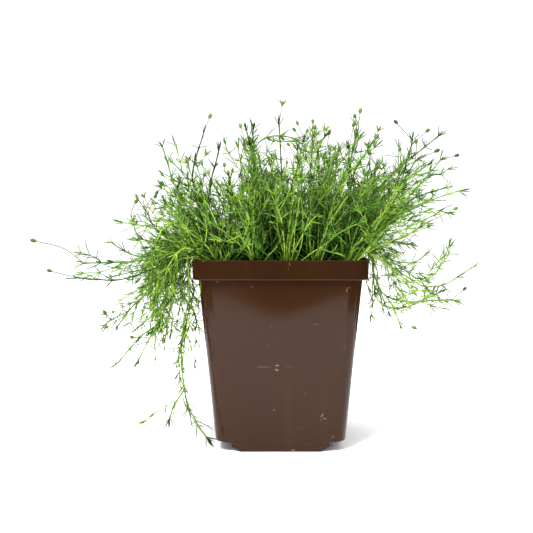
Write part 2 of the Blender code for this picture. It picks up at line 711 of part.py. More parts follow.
def main():
    for thing in list(bpy.data.objects):
        bpy.data.objects.remove(thing)
    collection = bpy.data.collections.new("potted_irish_moss")
    cutters = bpy.data.collections.new("cutters")
    bpy.context.scene.collection.children.link(collection)
    bpy.context.scene.collection.children.link(cutters)
    draw = random.Random(SEED)
    crowns = crown_places(draw)
    stems = grow_stems(crowns, draw)
    leaves = grow_leaves(stems, crowns, draw)
    paint(make_pot(collection, cutters), "pot")
    paint(make_soil(crowns.values(), draw, collection, cutters), "soil")
    for index, (tuft, place) in enumerate(crowns.items()):
        paint(make_tuft(index, tuft, place, stems, leaves, collection), "moss")
    for cutter in cutters.objects:
        cutter.hide_render = True
        cutter.display_type = "WIRE"


main()
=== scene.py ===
"""Potted irish moss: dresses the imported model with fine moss, compost crumbs and a moulded plastic pot."""
import math
import random
from collections import namedtuple

import bmesh
import bpy
import numpy as np
from mathutils import Matrix, Vector


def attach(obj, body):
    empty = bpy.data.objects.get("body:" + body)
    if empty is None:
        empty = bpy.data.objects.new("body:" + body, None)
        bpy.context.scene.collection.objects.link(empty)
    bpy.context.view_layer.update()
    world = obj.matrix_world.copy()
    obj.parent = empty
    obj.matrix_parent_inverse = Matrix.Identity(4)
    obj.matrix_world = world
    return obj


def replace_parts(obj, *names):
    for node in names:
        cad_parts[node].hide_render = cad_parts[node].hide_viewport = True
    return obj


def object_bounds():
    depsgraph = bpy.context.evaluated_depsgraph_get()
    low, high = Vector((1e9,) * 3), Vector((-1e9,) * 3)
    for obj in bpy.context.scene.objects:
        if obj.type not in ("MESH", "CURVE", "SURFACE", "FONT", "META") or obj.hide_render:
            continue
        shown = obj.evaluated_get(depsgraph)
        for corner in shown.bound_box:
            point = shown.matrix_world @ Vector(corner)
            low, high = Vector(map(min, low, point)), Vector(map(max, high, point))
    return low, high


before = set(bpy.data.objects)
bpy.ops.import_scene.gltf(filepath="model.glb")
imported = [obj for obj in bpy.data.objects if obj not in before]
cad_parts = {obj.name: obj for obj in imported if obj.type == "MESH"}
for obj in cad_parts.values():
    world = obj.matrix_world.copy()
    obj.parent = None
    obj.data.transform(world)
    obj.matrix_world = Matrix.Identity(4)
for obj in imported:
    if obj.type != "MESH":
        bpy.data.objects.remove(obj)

CAD_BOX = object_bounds()
MM = 0.001

# The rule that the solids grow by, with its values in millimetres: the fine moss keeps their stems.
SEED = 7
POT_HEIGHT = 121
RIM_HEIGHT = 12.4
RIM_HALF = 55
RIM_HALF_LOW = 54.5
WALL_HALF_TOP = 51.3
FOOT_HALF = 40.6
WALL = 1.2
RIM_LOW = POT_HEIGHT - RIM_HEIGHT
GROUND = 113
GROUND_MOUND = 2.0
TUFTS_EACH_WAY = 5
TUFT_PITCH = 20
TUFT_STAGGER = 4
TUFT_JITTER = 2
CROWN_DEPTH = 9
CORE_RISE = 8
CORE_RADIUS = 3.6
STEM_RISE = 5
STEMS_IN_CORE = 9
GOLDEN_TURN = 137.5
STEM_RADIUS = 0.85
NODE_SPACING = 17
LONG_SPACING = 14
TIP_LENGTH = 8
STEM_GAP = 2.4
CORE_GAP = 0.5
FLOOR_GAP = 2
POINT_SPACING = 2
POINTS_IN_CORE = 4
CURVE_STEPS = 12
TRIES = 30
SHOOT_HEIGHTS = (1.0, 0.84, 0.68)
SIDE_SHOOT_HEIGHTS = (0.5,)
# How much wider low shoots spread than high ones, to the right and to the other sides
LOW_SPREAD_RIGHT = -0.25
LOW_SPREAD = 0.45
BOW = (0.32, 0.32, 0.62)
HEIGHT_CHANGE = (0.94, 1.03)
SHOOT_TURN = 2.4
TURN_CHANGE = 0.25
SWING = (7, 17)
SWAY = 5
REACH_LEFT = 1.6
REACH_RIGHT = 2.25
REACH_FRONT = 1.55
REACH_BACK = 2.0

# How high the cushion reaches from left to right, and how much lower it is towards front and back
OUTLINE_X = (-125, -108, -90, -74, -62, -46, -31, -21, 0, 23, 50, 81, 106, 114, 124)
OUTLINE_Z = (128, 136, 152, 184, 186, 178, 176, 199, 205, 200, 197, 190, 180, 165, 140)
OUTLINE_FALL = 24
OUTLINE_DEPTH = 90

# The stems that stand out or hang: column and row of the tuft, places passed, places of the bare stalk
LONG_STEMS = (
    ((0, 1), ((-50, -22, 128), (-64, -24, 125), (-91, -29, 120), (-125, -33, 118)),
     ((-134, -33, 126), (-155, -35, 132))),
    ((0, 0), ((-51, -43, 128), (-65, -45, 121), (-84, -47, 113), (-100, -49, 109), (-125, -50, 110)),
     ((-135, -50, 115), (-141, -50, 114))),
    ((0, 2), ((-50, 0, 128), (-73, 0, 121), (-99, 0, 121), (-114, 0, 130)), ()),
    ((0, 2), ((-62, 9, 130), (-79, 10, 134), (-93, 13, 147)), ((-87, 14, 160),)),
    ((0, 1), ((-62, -8, 144), (-71, -8, 155)), ((-76, -8, 162), (-78, -8, 168))),
    ((0, 0), ((-55, -27, 149), (-66, -32, 168), (-75, -35, 192)), ()),
    ((0, 1), ((-53, -10, 155), (-58, -12, 172), (-51, -14, 201)), ((-47, -14, 212),)),
    ((0, 0), ((-46, -38, 158), (-39, -40, 188)), ()),
    ((1, 0), ((-17, -35, 149), (-19, -38, 180), (-10, -40, 197), (10, -40, 196), (16, -40, 189)), ()),
    ((2, 2), ((0, 0, 160), (-1, 0, 209)), ((1, 0, 222),)),
    ((3, 3), ((22, 30, 159), (23, 35, 204)), ((23, 35, 214),)),
    ((2, 3), ((13, 22, 150), (12, 22, 194)), ((18, 22, 206),)),
    ((1, 1), ((-15, -20, 160), (-22, -22, 203)), ()),
    ((3, 0), ((27, -32, 150), (24, -33, 189), (28, -33, 198)), ()),
    ((3, 1), ((41, -15, 150), (46, -18, 188), (50, -18, 200)), ((52, -18, 215),)),
    ((3, 3), ((45, 22, 150), (48, 22, 194)), ((51, 22, 210),)),
    ((4, 0), ((41, -42, 146), (48, -44, 181), (54, -45, 189)), ((59, -45, 196),)),
    ((4, 2), ((66, 0, 150), (84, 0, 182), (89, 0, 199)), ((87, 0, 204), (79, 0, 210))),
    ((4, 1), ((58, -20, 155), (82, -26, 181), (101, -30, 199)), ()),
    ((4, 3), ((78, 25, 166), (93, 28, 198)), ((103, 28, 207),)),
    ((4, 0), ((62, -37, 145), (84, -42, 182)), ((96, -44, 188),)),
    ((4, 2), ((73, 10, 146), (102, 12, 177), (110, 12, 186)), ((120, 12, 189),)),
    ((4, 1), ((65, -27, 140), (82, -30, 158), (105, -34, 166)), ()),
    ((4, 2), ((56, -4, 128), (78, -4, 132), (93, -4, 140)), ((104, -4, 146), (116, -4, 152))),
    ((4, 1), ((50, -28, 128), (59, -30, 124), (62, -36, 97), (76, -39, 90), (98, -40, 99)), ()),
    ((4, 2), ((50, -9, 128), (61, -9, 124), (66, -10, 103), (78, -12, 92), (113, -15, 93)),
     ((120, -15, 99),)),
    ((4, 3), ((50, 12, 128), (63, 11, 125), (87, 14, 106), (109, 15, 97), (133, 15, 112)), ()),
    ((4, 0), ((50, -43, 128), (66, -46, 117), (82, -48, 105), (93, -49, 109), (104, -50, 125)), ()),
    ((4, 3), ((52, 30, 128), (66, 30, 124), (90, 35, 114), (103, 36, 119)), ()),
    ((0, 0), ((-48, -42, 127), (-58, -44, 122), (-56, -45, 95), (-61, -46, 60), (-57, -46, 28),
              (-46, -47, 11)), ()),
    ((0, 1), ((-49, -31, 128), (-61, -32, 126), (-66, -36, 105), (-78, -38, 82), (-89, -40, 58)), ()),
    ((0, 1), ((-49, -14, 128), (-65, -14, 126), (-78, -16, 106), (-95, -20, 90), (-106, -22, 76)),
     ((-113, -22, 84),)),
    ((0, 2), ((-50, 8, 128), (-66, 7, 124), (-74, 6, 100), (-79, 6, 62)), ()),
    ((0, 3), ((-50, 22, 128), (-70, 22, 124), (-88, 26, 105), (-113, 30, 88)), ()),
    ((0, 3), ((-50, 16, 129), (-68, 14, 124), (-92, 8, 112), (-113, 4, 107)), ()),
    ((1, 4), ((-20, 50, 129), (-24, 66, 124), (-28, 80, 102), (-30, 92, 88)), ()),
    ((3, 4), ((22, 50, 129), (26, 68, 127), (34, 90, 118), (38, 106, 126)), ((40, 112, 138),)),
)
# Side branches: the long stem's place in the list above, and the places passed
BRANCHES = (
    (30, ((-80, -38, 78), (-90, -37, 70), (-102, -37, 56)), ()),
    (24, ((70, -38, 92), (75, -37, 81)), ((83, -37, 78),)),
    (29, ((-60, -46, 40), (-66, -45, 30), (-69, -45, 22)), ()),
    (2, ((-90, 0, 120), (-96, 1, 132), (-100, 2, 143)), ()),
)

# Pot
CORNER_RADIUS = 9
RING_STEPS = 12
PAST = 5
FOOT_RISE = 6
FOOT_FLAT = 25
FOOT_SIDE_FLAT = 15
FOOT_WAIST = 31
FOOT_SLOPE = 1.17
FOOT_STRETCH = 1.93
FOOT_DIAMOND = FOOT_FLAT + FOOT_HALF / FOOT_STRETCH
# Scuffs on the front: where, half sizes, turn and strength
POT_MARKS = (
    ((40.9, 102.5), (0.45, 1.4), 0, 0.45), ((42.2, 103.9), (1.0, 0.35), 0, 0.4),
    ((5.6, 118.6), (0.35, 1.4), -25, 0.5), ((4.8, 115.6), (0.3, 1.2), -10, 0.35),
    ((-2.0, 55.2), (1.3, 0.45), 0, 0.6), ((-2.3, 52.4), (1.3, 0.7), 15, 0.6),
    ((-10.5, 54.2), (5.2, 0.25), 0, 0.3), ((5.5, 54.4), (3.0, 0.22), 0, 0.15),
    ((26.0, 23.4), (0.5, 1.7), 30, 0.5), ((27.6, 21.4), (1.5, 0.4), 20, 0.45),
    ((25.4, 20.6), (0.9, 0.4), -30, 0.35), ((32.9, 9.8), (0.9, 0.6), 30, 0.45),
    ((8, 1.2), (1.6, 0.5), 10, 0.4), ((-39.1, 107.5), (0.7, 0.4), 0, 0.45),
    ((22, 81), (2.2, 0.4), 10, 0.12), ((-4, 27), (0.8, 0.6), 0, 0.25),
)
PLASTIC_DARK = (0.0245, 0.0086, 0.0026)
PLASTIC_LIGHT = (0.0275, 0.0100, 0.0033)
STREAK_COLOUR = (0.06, 0.027, 0.013)
DUST_COLOUR = (0.15, 0.09, 0.06)
SCUFF_COLOUR = (0.30, 0.20, 0.14)
# How much the painted shade on the rim darkens its plastic
RIM_PAINTED_SHADE = 0.84
RAISED_CHAMFER = 2.3
SOFT_EDGE = 0.35
SOFT_EDGE_ANGLE = 40
SHARP_ANGLE = 35
SLOT_SIZE = (10, 9, 3)
SLOT_PLACE = (30, 34.5, 3.2)
CORNERS = ((-1, -1), (-1, 1), (1, -1), (1, 1))

# Compost
COMPOST_COLOURS = (
    (0.3, (0.008, 0.005, 0.003)), (0.5, (0.030, 0.018, 0.010)), (0.72, (0.085, 0.052, 0.028)),
)
CRUMBS = 1800
CRUMB_SIZE = (0.5, 1.7)

# Fine moss, in millimetres and degrees
FINE_SEED = 3
FINE_STEM = 0.45
FINE_STEM_TIP = 0.32
STEM_CHANGE = (0.7, 1.0)
LONG_STEM = 0.55
LONG_STEM_TIP = 0.42
FINE_STALK = 0.3
STALK_SIDES = 3
NODE_SWELL = 1.45
NODE_STEP = (0.8, 1.2)
# From one node to the next: how far along, and the stem's thickness there
NODE_FORM = ((0, NODE_SWELL), (0.16, 1.0), (0.6, 0.9))
SHOOT_NODES = 9
LONG_NODES = 11
TWIG_NODES = 7
BLADE_WIDTH = 0.74
BLADE_KEEL = 0.6
BUNDLE_WIDTH = BLADE_WIDTH * 0.9
PAIR_LENGTH = (6.5, 12.5)
PAIR_ANGLE = (28, 74)
LONG_PAIR_ANGLE = (32, 80)
BUNDLE = 1.45
BUNDLE_LENGTH = (4, 9)
BUNDLE_ANGLE = (14, 76)
TIP_BLADES = (4, 8)
TIP_BLADE_LENGTH = (4, 9.5)
TIP_BLADE_ANGLE = (6, 58)
LONG_STEM_LEAVES = 1.05
LOW_SHOOT_LEAVES = 0.7
# Painted shade on leaves low over the soil: how much darker their tone is at the soil, and how high it
# reaches
LOW_PAINTED_SHADE = 0.95
LOW_PAINTED_SHADE_HEIGHT = 48
BLADE_BEND = (0.02, 0.2)
TWIG_LENGTH = (8, 22)
TWIG_ANGLE = (25, 65)
TWIG_THIN = 0.75
TWIG_STRAY = 0.5
TWIG_LEAF_TONE = (0.3, 0.75)
STEM_TONE_CHANGE = 0.12
NODE_TONE_CHANGE = 0.12
BLADE_TONE_CHANGE = 0.3
NODE_TURN_CHANGE = 0.25
PAIR_TURN_CHANGE = 0.2
STRAY = 1.25
SOLID_STRAY = 0.4
BOWED = 0.6
JITTER = 0.6
FAN = 11
CROWN_SCATTER = 1.6
ROOT_DEPTH = 2.0
SOIL_EDGE = 2
# The peg of a crown in the soil: heights over its foot, and radii
PEG_FORM = ((0, 1.6), (5, 2.6), (9, 1.4))
PEG_SIDES = 8
PEG_TONE = 0.1
LINE_POINTS = 24
LINE_MARGIN = 1.0
# The start of a line that isn't tested against the pot: its length at most, and its share of the whole
UNTESTED_LENGTH = 14
UNTESTED_SHARE = 0.3
BLADE_MARGIN = 0.7
DRY_MARGIN = 0.5
FILLERS_OUTSIDE = 12
FILLERS_INSIDE = 8
FILLER_SHARES = (0.1, 0.45, 1.0)
LOW_SHOOTS_OUTSIDE = 5
LOW_SHOOTS_INSIDE = 11
LOW_SHARES = (0.05, 0.35)
CROSSERS_A_TUFT = 2
CROSSER_REACH = (10, 30)
COMPANIONS_UP = 2
COMPANIONS_UP_ASIDE = 1
COMPANIONS_LOW = 2
COMPANIONS_DEEP = 5
COMPANION_REACH = (0.35, 0.6, 0.95)
COMPANION_SPREAD = (9, 9, 7)
COMPANION_WAVE = 1.5
# Where long stems end: up, in the middle, far to the right, hanging on each side, and almost at the floor
HIGH = POT_HEIGHT + 25
MIDDLE_HALF = 45
FAR_RIGHT = 92
HANGING_RIGHT = POT_HEIGHT + 10
HANGING_LEFT = POT_HEIGHT - 14
DEEP = 50
# Shoots twined with the deep stem: the share of it where they start, and the shares where they end
TWINED_START = 0.4
TWINED_REACHES = (0.75, 0.85, 1.0)
HANGERS_A_TUFT = 6
HANGER_DROP = (0, 34, 72)
HANGER_OUT = (4, 24)
POD_LENGTH = 3.5
POD_RADIUS = 1.12
POD_SIDES = 6
POD_SIZE = (0.9, 1.1)
POD_OVER_TIP = 3
POD_DEPTH = 14
POD_TONE = (0.2, 0.75)
OPEN_POD_TONE = (0.75, 0.95)
OPEN_PODS_SHARE = 0.3
VALVES = 5
VALVE_LENGTH = 2.6
SEPALS = 4
SEPAL_LENGTH = 2.3
SEPAL_SPREAD = (0.45, 0.75)
# Along a capsule: places from -1 at its foot to 1 at its top, and shares of its radius
POD_FORM = ((-1, 0.25), (-0.75, 0.75), (-0.25, 1.0), (0.25, 0.95), (0.7, 0.6), (1.0, 0.12))
OPEN_POD_FORM = ((-1, 0.3), (-0.7, 0.75), (-0.2, 0.85), (0.1, 0.8))
DRY_HEIGHTS = (128, 180)
DRY_CURL = 0.8
DRY_STEPS = 7
DRY_STEP = 1.9
DRY_TONE = (0.3, 0.7)
# Along a blade, from 0 at its root: where it has a section, and the share of its width there
BLADE_FORM = ((0, 0.8), (0.62, 0.95))
# How far blades may stand past the solids' box, and how high they stay over the floor
OVER_BOX = 9
OVER_FLOOR = 1
# How far to the right the shoots between the long stems may reach, as seen from the front
CUSHION_RIGHT = 96
# Capsules of the solids that are open, and more capsules with whether they are open
OPEN_PODS = ((1, 0, 222),)
EXTRA_PODS = (
    ((10, 0, 205), False), ((23, 0, 206), False), ((33, 5, 203), False), ((64, 0, 200), True),
    ((58, -5, 194), True), ((36, -10, 191), True), ((-99, 0, 66), False), ((-91, -5, 160), True),
)

# Kinds of shoots: the bare share of the stem, the chance of a twig at a node, how full the bundles are,
# how far the stem strays, and the ranges that the tones of stem and leaves are drawn from
SOLID_SHOOT = dict(bare=0.3, twigs=0.35, sides=4, stray=SOLID_STRAY)
SOLID_TONE = (0.4, 0.8)
SOLID_LEAF_TONE = (0.35, 0.75)
LONG_SHOOT = dict(bare=0.22, twigs=0.3, fullness=2.0, sides=4, stray=SOLID_STRAY, leaf_size=LONG_STEM_LEAVES,
                  leaf_angle=LONG_PAIR_ANGLE)
COMPANION = dict(bare=0.25, twigs=0.4, fullness=1.0)
FILLER_BARE = (0.15, 0.45)
FILLER_BARE_IN_FRONT = (0.3, 0.6)
FILLER_OUTSIDE = dict(twigs=0.4, fullness=0.9, tone=(0.25, 0.95), leaf_tone=(0.3, 0.9))
# Painted shade: the inner tufts' shoots, and most of all the low ones, get dark tones for the shade deep in
# the cushion
FILLER_INSIDE = dict(twigs=0.4, fullness=0.9, tone=(0.05, 0.55), leaf_tone=(0.1, 0.7))
LOW_OUTSIDE = dict(bare=0.0, twigs=0.1, fullness=1.3, tone=(0.1, 0.6), leaf_tone=(0.1, 0.6))
LOW_INSIDE = dict(bare=0.0, twigs=0.1, fullness=1.3, tone=(0.0, 0.2), leaf_tone=(0.0, 0.2))
CROSSER_BARE = (0.4, 0.8)
CROSSER = dict(twigs=0.3, fullness=0.9, tone=(0.35, 0.9), leaf_tone=(0.3, 0.8), leaf_size=LOW_SHOOT_LEAVES)
HANGER_BARE = (0.15, 0.4)
# Painted light: shoots hanging over the rim get light tones against the shade they hang in
HANGER = dict(twigs=0.4, fullness=1.3, tone=(0.65, 1.0), leaf_tone=(0.6, 1.0), stray=2.0)
TWINED = dict(bare=0.0, twigs=0.1, fullness=0.7, tone=(0.5, 0.8), leaf_tone=(0.25, 0.5), stray=0.9)
# The same two ranges for long stems and for their companions, by where the long stem ends; the stems that
# hang get lighter tones, painted light against the shade they hang in
LONG_TONES = {"up": ((0.1, 0.35), (0.02, 0.3)), "hanging": ((0.5, 0.85), (0.3, 0.65)),
              "deep": ((0.5, 0.7), (0.05, 0.3))}
COMPANION_TONES = {"up": ((0.25, 0.65), (0.25, 0.65)), "hanging": ((0.55, 0.95), (0.55, 0.95)),
                   "deep": ((0.55, 0.95), (0.05, 0.45))}

# Camera: the photo's size, focal length and centre in pixels, then sensor width and distance in millimetres
PHOTO_SIZE = 533
FOCAL = 850
CENTRE_X = 280.5
CENTRE_Y = 210
SENSOR = 36
CAMERA_AWAY = 574

# Studio, in metres
CAMERA_HEIGHT = 0.1518
# Lights: name, place, size and power
LIGHTS = (("key", (-0.44, -0.74, 1.12), 0.4, 28), ("overhead", (0.15, 0.1, 1.3), 1.0, 12))
LIGHT_AIM = (0, 0, 0.1)
SKY = 1.3
FLOOR_HALF = 6
FLAG_STEPS = 720
FLAG_NEAR = 0.312
FLAG_BOW = 0.07
FLAG_BOW_END = 0.42
FLAG_WAVE = 0.003
FLAG_WAVES = 31
FLAG_FAR = 1.5
FLAG_LOW = 0.001
FLAG_HIGH = 1

# How low the cushion reaches outside the rim: its height there and how it rises outwards
UNDERSIDE_LOW = 122
UNDERSIDE_LEFT = 0.003
UNDERSIDE_RIGHT = 0.014
UNDERSIDE_DEPTH = 0.012
# How far below the outline the shoots between the long stems stay, from left to right
THIN_X = (-60, -30, -18, 20, 60, 90, 110)
THIN_DROP = (33, 30, 9, 9, 3, 18, 36)
# The view of the pot's front is kept free: how far over the rim, beside the wall and behind the front edge
RIM_SHOWN = 2
FRONT_SHOWN = 1
FRONT_DEPTH = 5

# Bands of the moss's colour map: what lies where along its first direction
BLADE_BAND = (0.02, 0.44)
STEM_BAND = (0.50, 0.66)
STALK_BAND = (0.70, 0.76)
POD_BAND = (0.80, 0.88)
DRY_BAND = (0.92, 0.98)
TONE_SPREAD = 0.006
TONE_LIMITS = (0.02, 0.98)
# Colours along the map's first direction, and along its second the brightness for each tone, which holds
# random tone as well as painted shade and painted light
MOSS_COLOURS = (
    (0.02, (0.25, 0.41, 0.035)), (0.12, (0.125, 0.32, 0.016)), (0.26, (0.095, 0.22, 0.024)),
    (0.44, (0.055, 0.065, 0.04)), (0.50, (0.07, 0.19, 0.015)), (0.54, (0.185, 0.36, 0.035)),
    (0.66, (0.15, 0.28, 0.04)), (0.70, (0.15, 0.18, 0.08)), (0.76, (0.13, 0.13, 0.08)),
    (0.80, (0.11, 0.19, 0.045)), (0.88, (0.065, 0.15, 0.025)), (0.92, (0.32, 0.29, 0.10)),
    (0.98, (0.40, 0.36, 0.15)),
)
MOSS_SHADES = (
    (0.0, (0.06, 0.17, 0.02)), (0.35, (0.60, 0.73, 0.56)), (0.65, (1.30, 1.18, 1.14)),
    (1.0, (2.3, 1.82, 1.9)),
)


def crown_places(draw):
    """The middles of the crowns, by column and row, on a grid that is a little uneven."""
    middle = (TUFTS_EACH_WAY - 1) / 2
    places = {}
    for row in range(TUFTS_EACH_WAY):
        stagger = TUFT_STAGGER if row % 2 == 0 else -TUFT_STAGGER
        for column in range(TUFTS_EACH_WAY):
            x = (column - middle) * TUFT_PITCH + stagger + draw.uniform(-TUFT_JITTER, TUFT_JITTER)
            y = (row - middle) * TUFT_PITCH + draw.uniform(-TUFT_JITTER, TUFT_JITTER)
            places[column, row] = np.array((x, y))
    return places


def smooth_line(places):
    """Close points on a smooth curve through the given places."""
    places = [np.array(place, dtype=float) for place in places]
    knots = [2 * places[0] - places[1], *places, 2 * places[-1] - places[-2]]
    step = np.linspace(0, 1, CURVE_STEPS, endpoint=False)[:, None]
    pieces = []
    for a, b, c, d in zip(knots, knots[1:], knots[2:], knots[3:]):
        bend = 2 * a - 5 * b + 4 * c - d
        pieces.append(0.5 * (2 * b + (c - a) * step + bend * step**2 + (3 * b - a - 3 * c + d) * step**3))
    return np.vstack([*pieces, places[-1][None]])


def lengths_along(line):
    return np.concatenate([[0], np.cumsum(np.linalg.norm(np.diff(line, axis=0), axis=1))])


def points_at(line, marks):
    """The points of a line at the given lengths from its start."""
    along = lengths_along(line)
    return np.column_stack([np.interp(marks, along, line[:, axis]) for axis in range(3)])


def even_points(line, spacing, tip=0):
    """Points at an even spacing along a line, with its end at the tip's length from the last of them."""
    whole = lengths_along(line)[-1]
    marks = np.linspace(0, whole - tip, max(1, round((whole - tip) / spacing)) + 1)
    if tip:
        marks = np.append(marks, whole)
    return points_at(line, marks)


def distances(points, starts, ends):
    """How far each point is from each straight piece."""
    spans = ends - starts
    lengths = np.maximum((spans**2).sum(axis=1), 1e-9)
    offsets = points[:, None] - starts[None]
    share = np.clip((offsets * spans).sum(axis=2) / lengths, 0, 1)
    return np.linalg.norm(offsets - share[..., None] * spans, axis=2)


def wall_half(height):
    """Half the outer width of the pot's wall at a height."""
    return FOOT_HALF + (WALL_HALF_TOP - FOOT_HALF) * height / RIM_LOW


def free_of_pot(points, margin):
    """Which points lie outside the pot, or over the soil inside it."""
    reach = np.abs(points[:, :2]).max(axis=1)
    outer = np.where(points[:, 2] > RIM_LOW - margin, RIM_HALF, wall_half(points[:, 2]))
    above = points[:, 2] > POT_HEIGHT + margin
    outside = (reach > outer + margin) & (points[:, 2] > FLOOR_GAP + margin)
    over_soil = (reach < RIM_HALF_LOW - WALL - margin) & (points[:, 2] > GROUND + GROUND_MOUND + margin)
    return above | outside | over_soil


# A stem of the solids: its tuft, its points, and whether it starts in the crown, bears leaves and is long
Stem = namedtuple("Stem", "tuft route from_crown leafy long")


def add_long_stem(stems, tuft, places, stalk, from_crown):
    """Adds a stem through the given places, and the bare stalk at its end if it has one."""
    route = even_points(smooth_line(places), LONG_SPACING, 0 if stalk else TIP_LENGTH)
    stems.append(Stem(tuft, route, from_crown, leafy=True, long=True))
    main = stems[-1]
    if stalk:
        route = even_points(smooth_line([route[-1], *stalk]), LONG_SPACING)
        stems.append(Stem(tuft, route, from_crown=False, leafy=False, long=False))
    return main


def long_stems(crowns):
    """The stems that stand out or hang, with their branches and stalks."""
    stems = []
    mains = []
    for tuft, places, stalk in LONG_STEMS:
        start = stem_start(tuft, crowns[tuft], stems)
        mains.append(add_long_stem(stems, tuft, (start, *places), stalk, True))
    for parent, places, stalk in BRANCHES:
        main = mains[parent]
        line = even_points(main.route, 1)
        fork = line[np.linalg.norm(line - np.array(places[0]), axis=1).argmin()]
        add_long_stem(stems, main.tuft, (fork, *places[1:]), stalk, False)
    return stems


def stem_start(tuft, crown, stems):
    """Where a tuft's next stem starts in its core, each beside the ones before it."""
    order = sum(stem.tuft == tuft and stem.from_crown for stem in stems)
    turn = math.radians(GOLDEN_TURN) * order
    away = (CORE_RADIUS - STEM_RADIUS) * math.sqrt((order + 0.5) / STEMS_IN_CORE)
    return np.array((crown[0] + away * math.cos(turn), crown[1] + away * math.sin(turn), GROUND + STEM_RISE))


def shoot_line(start, crown, share, turn, draw):
    """An arching shoot from a crown up to its share of the cushion's height."""
    x, y = crown
    low = 1 - share
    reach_x = REACH_RIGHT * (1 + LOW_SPREAD_RIGHT * low) if x > 0 else REACH_LEFT * (1 + LOW_SPREAD * low)
    reach_y = (REACH_BACK if y > 0 else REACH_FRONT) * (1 + LOW_SPREAD * low)
    swing = draw.uniform(*SWING)
    end_x = x * reach_x + swing * math.cos(turn)
    end_y = y * reach_y + swing * math.sin(turn)
    rise = (outline_height(end_x, end_y) - GROUND) * share * draw.uniform(*HEIGHT_CHANGE)
    end = np.array((end_x, end_y, GROUND + rise))
    sway = np.array((draw.uniform(-SWAY, SWAY), draw.uniform(-SWAY, SWAY), 0))
    bow = start + (end - start) * np.array(BOW) + sway
    return arch(start, bow, end)


def outline_height(x, y):
    return np.interp(x, OUTLINE_X, OUTLINE_Z) - OUTLINE_FALL * (y / OUTLINE_DEPTH) ** 2


def arch(start, bow, end):
    step = np.linspace(0, 1, CURVE_STEPS)[:, None]
    return start * (1 - step) ** 2 + 2 * bow * step * (1 - step) + end * step**2


def grow_stems(crowns, draw):
    """All stems: the long ones as they are, then shoots that keep clear of other tufts' stems."""
    stems = long_stems(crowns)
    for tuft, crown in crowns.items():
        first_turn = draw.uniform(0, math.tau)
        for index, share in enumerate(SHOOT_HEIGHTS + (SIDE_SHOOT_HEIGHTS if is_outer(tuft) else ())):
            start = stem_start(tuft, crown, stems)
            for attempt in range(TRIES):
                turn = first_turn + SHOOT_TURN * index + draw.uniform(-1, 1) * attempt * TURN_CHANGE
                line = shoot_line(start, crown, share, turn, draw)
                if room_for(line, tuft, stems, crowns):
                    route = even_points(line, NODE_SPACING, TIP_LENGTH)
                    stems.append(Stem(tuft, route, from_crown=True, leafy=True, long=False))
                    break
    return stems


def room_for(line, tuft, stems, crowns):
    points = even_points(line, POINT_SPACING)
    if not free_of_pot(points[POINTS_IN_CORE:], 2 * STEM_RADIUS).all():
        return False
    for other in stems:
        if other.tuft != tuft and distances(points, other.route[:-1], other.route[1:]).min() < STEM_GAP:
            return False
    cores = np.array([(*place, GROUND) for spot, place in crowns.items() if spot != tuft])
    tops = cores + np.array((0, 0, CORE_RISE))
    return distances(points, cores, tops).min() > CORE_RADIUS + STEM_RADIUS + CORE_GAP


def unit(vectors):
    return vectors / np.maximum(np.linalg.norm(vectors, axis=-1, keepdims=True), 1e-9)


class Growth:
    """What one tuft is drawn from, in millimetres: tubes and blades."""

    def __init__(self):
        self.tubes = []
        self.blades = []
        self.tops = []

    def tube(self, points, radii, sides, band, tone):
        self.tubes.append((points, radii, sides, band, tone))

    def blade(self, root, along, inner, bend, length, width, tone, band=BLADE_BAND):
        self.blades.append((*root, *along, *inner, bend, length, width, tone, *band))


def outward(way, turn):
    """The direction square to a way, on the side that the turn gives."""
    side = unit(np.cross(way, np.eye(3)[2 if abs(way[2]) < 0.9 else 0]))
    return side * math.cos(turn) + np.cross(way, side) * math.sin(turn)


def fan_blade(growth, root, way, turn, angles, lengths, tone, draw, size=1.0, width=BLADE_WIDTH):
    """A blade on the side of a stem that the turn gives, its angle and length drawn from the given ranges."""
    angle = math.radians(draw.uniform(*angles))
    length = draw.uniform(*lengths) * size
    tone = np.clip(tone + draw.normal(0, BLADE_TONE_CHANGE), *TONE_LIMITS)
    out = outward(way, turn)
    along = way * math.cos(angle) + out * math.sin(angle)
    inner = way * math.sin(angle) - out * math.cos(angle)
    growth.blade(root, along, inner, draw.normal(*BLADE_BEND), length, width, tone)


def wandering(line, spacing, stray, draw):
    """A line led a little astray between its ends, and how far along it each node lies."""
    whole = lengths_along(line)[-1]
    count = max(1, round(whole / spacing))
    steps = np.concatenate([[0], np.cumsum(draw.uniform(*NODE_STEP, count))])
    marks = steps / steps[-1] * whole
    drift = np.cumsum(draw.normal(0, stray * BOWED, (count + 1, 3)), axis=0)
    strays = np.cumsum(drift + draw.normal(0, stray * JITTER, (count + 1, 3)), axis=0)
    strays -= strays[0] + np.linspace(0, 1, count + 1)[:, None] * (strays[-1] - strays[0])
    line = points_at(line, np.linspace(0, whole, 4 * count + 1))
    along = lengths_along(line)
    line = line + np.column_stack([np.interp(along, marks, strays[:, axis]) for axis in range(3)])
    return line, marks * (lengths_along(line)[-1] / marks[-1])


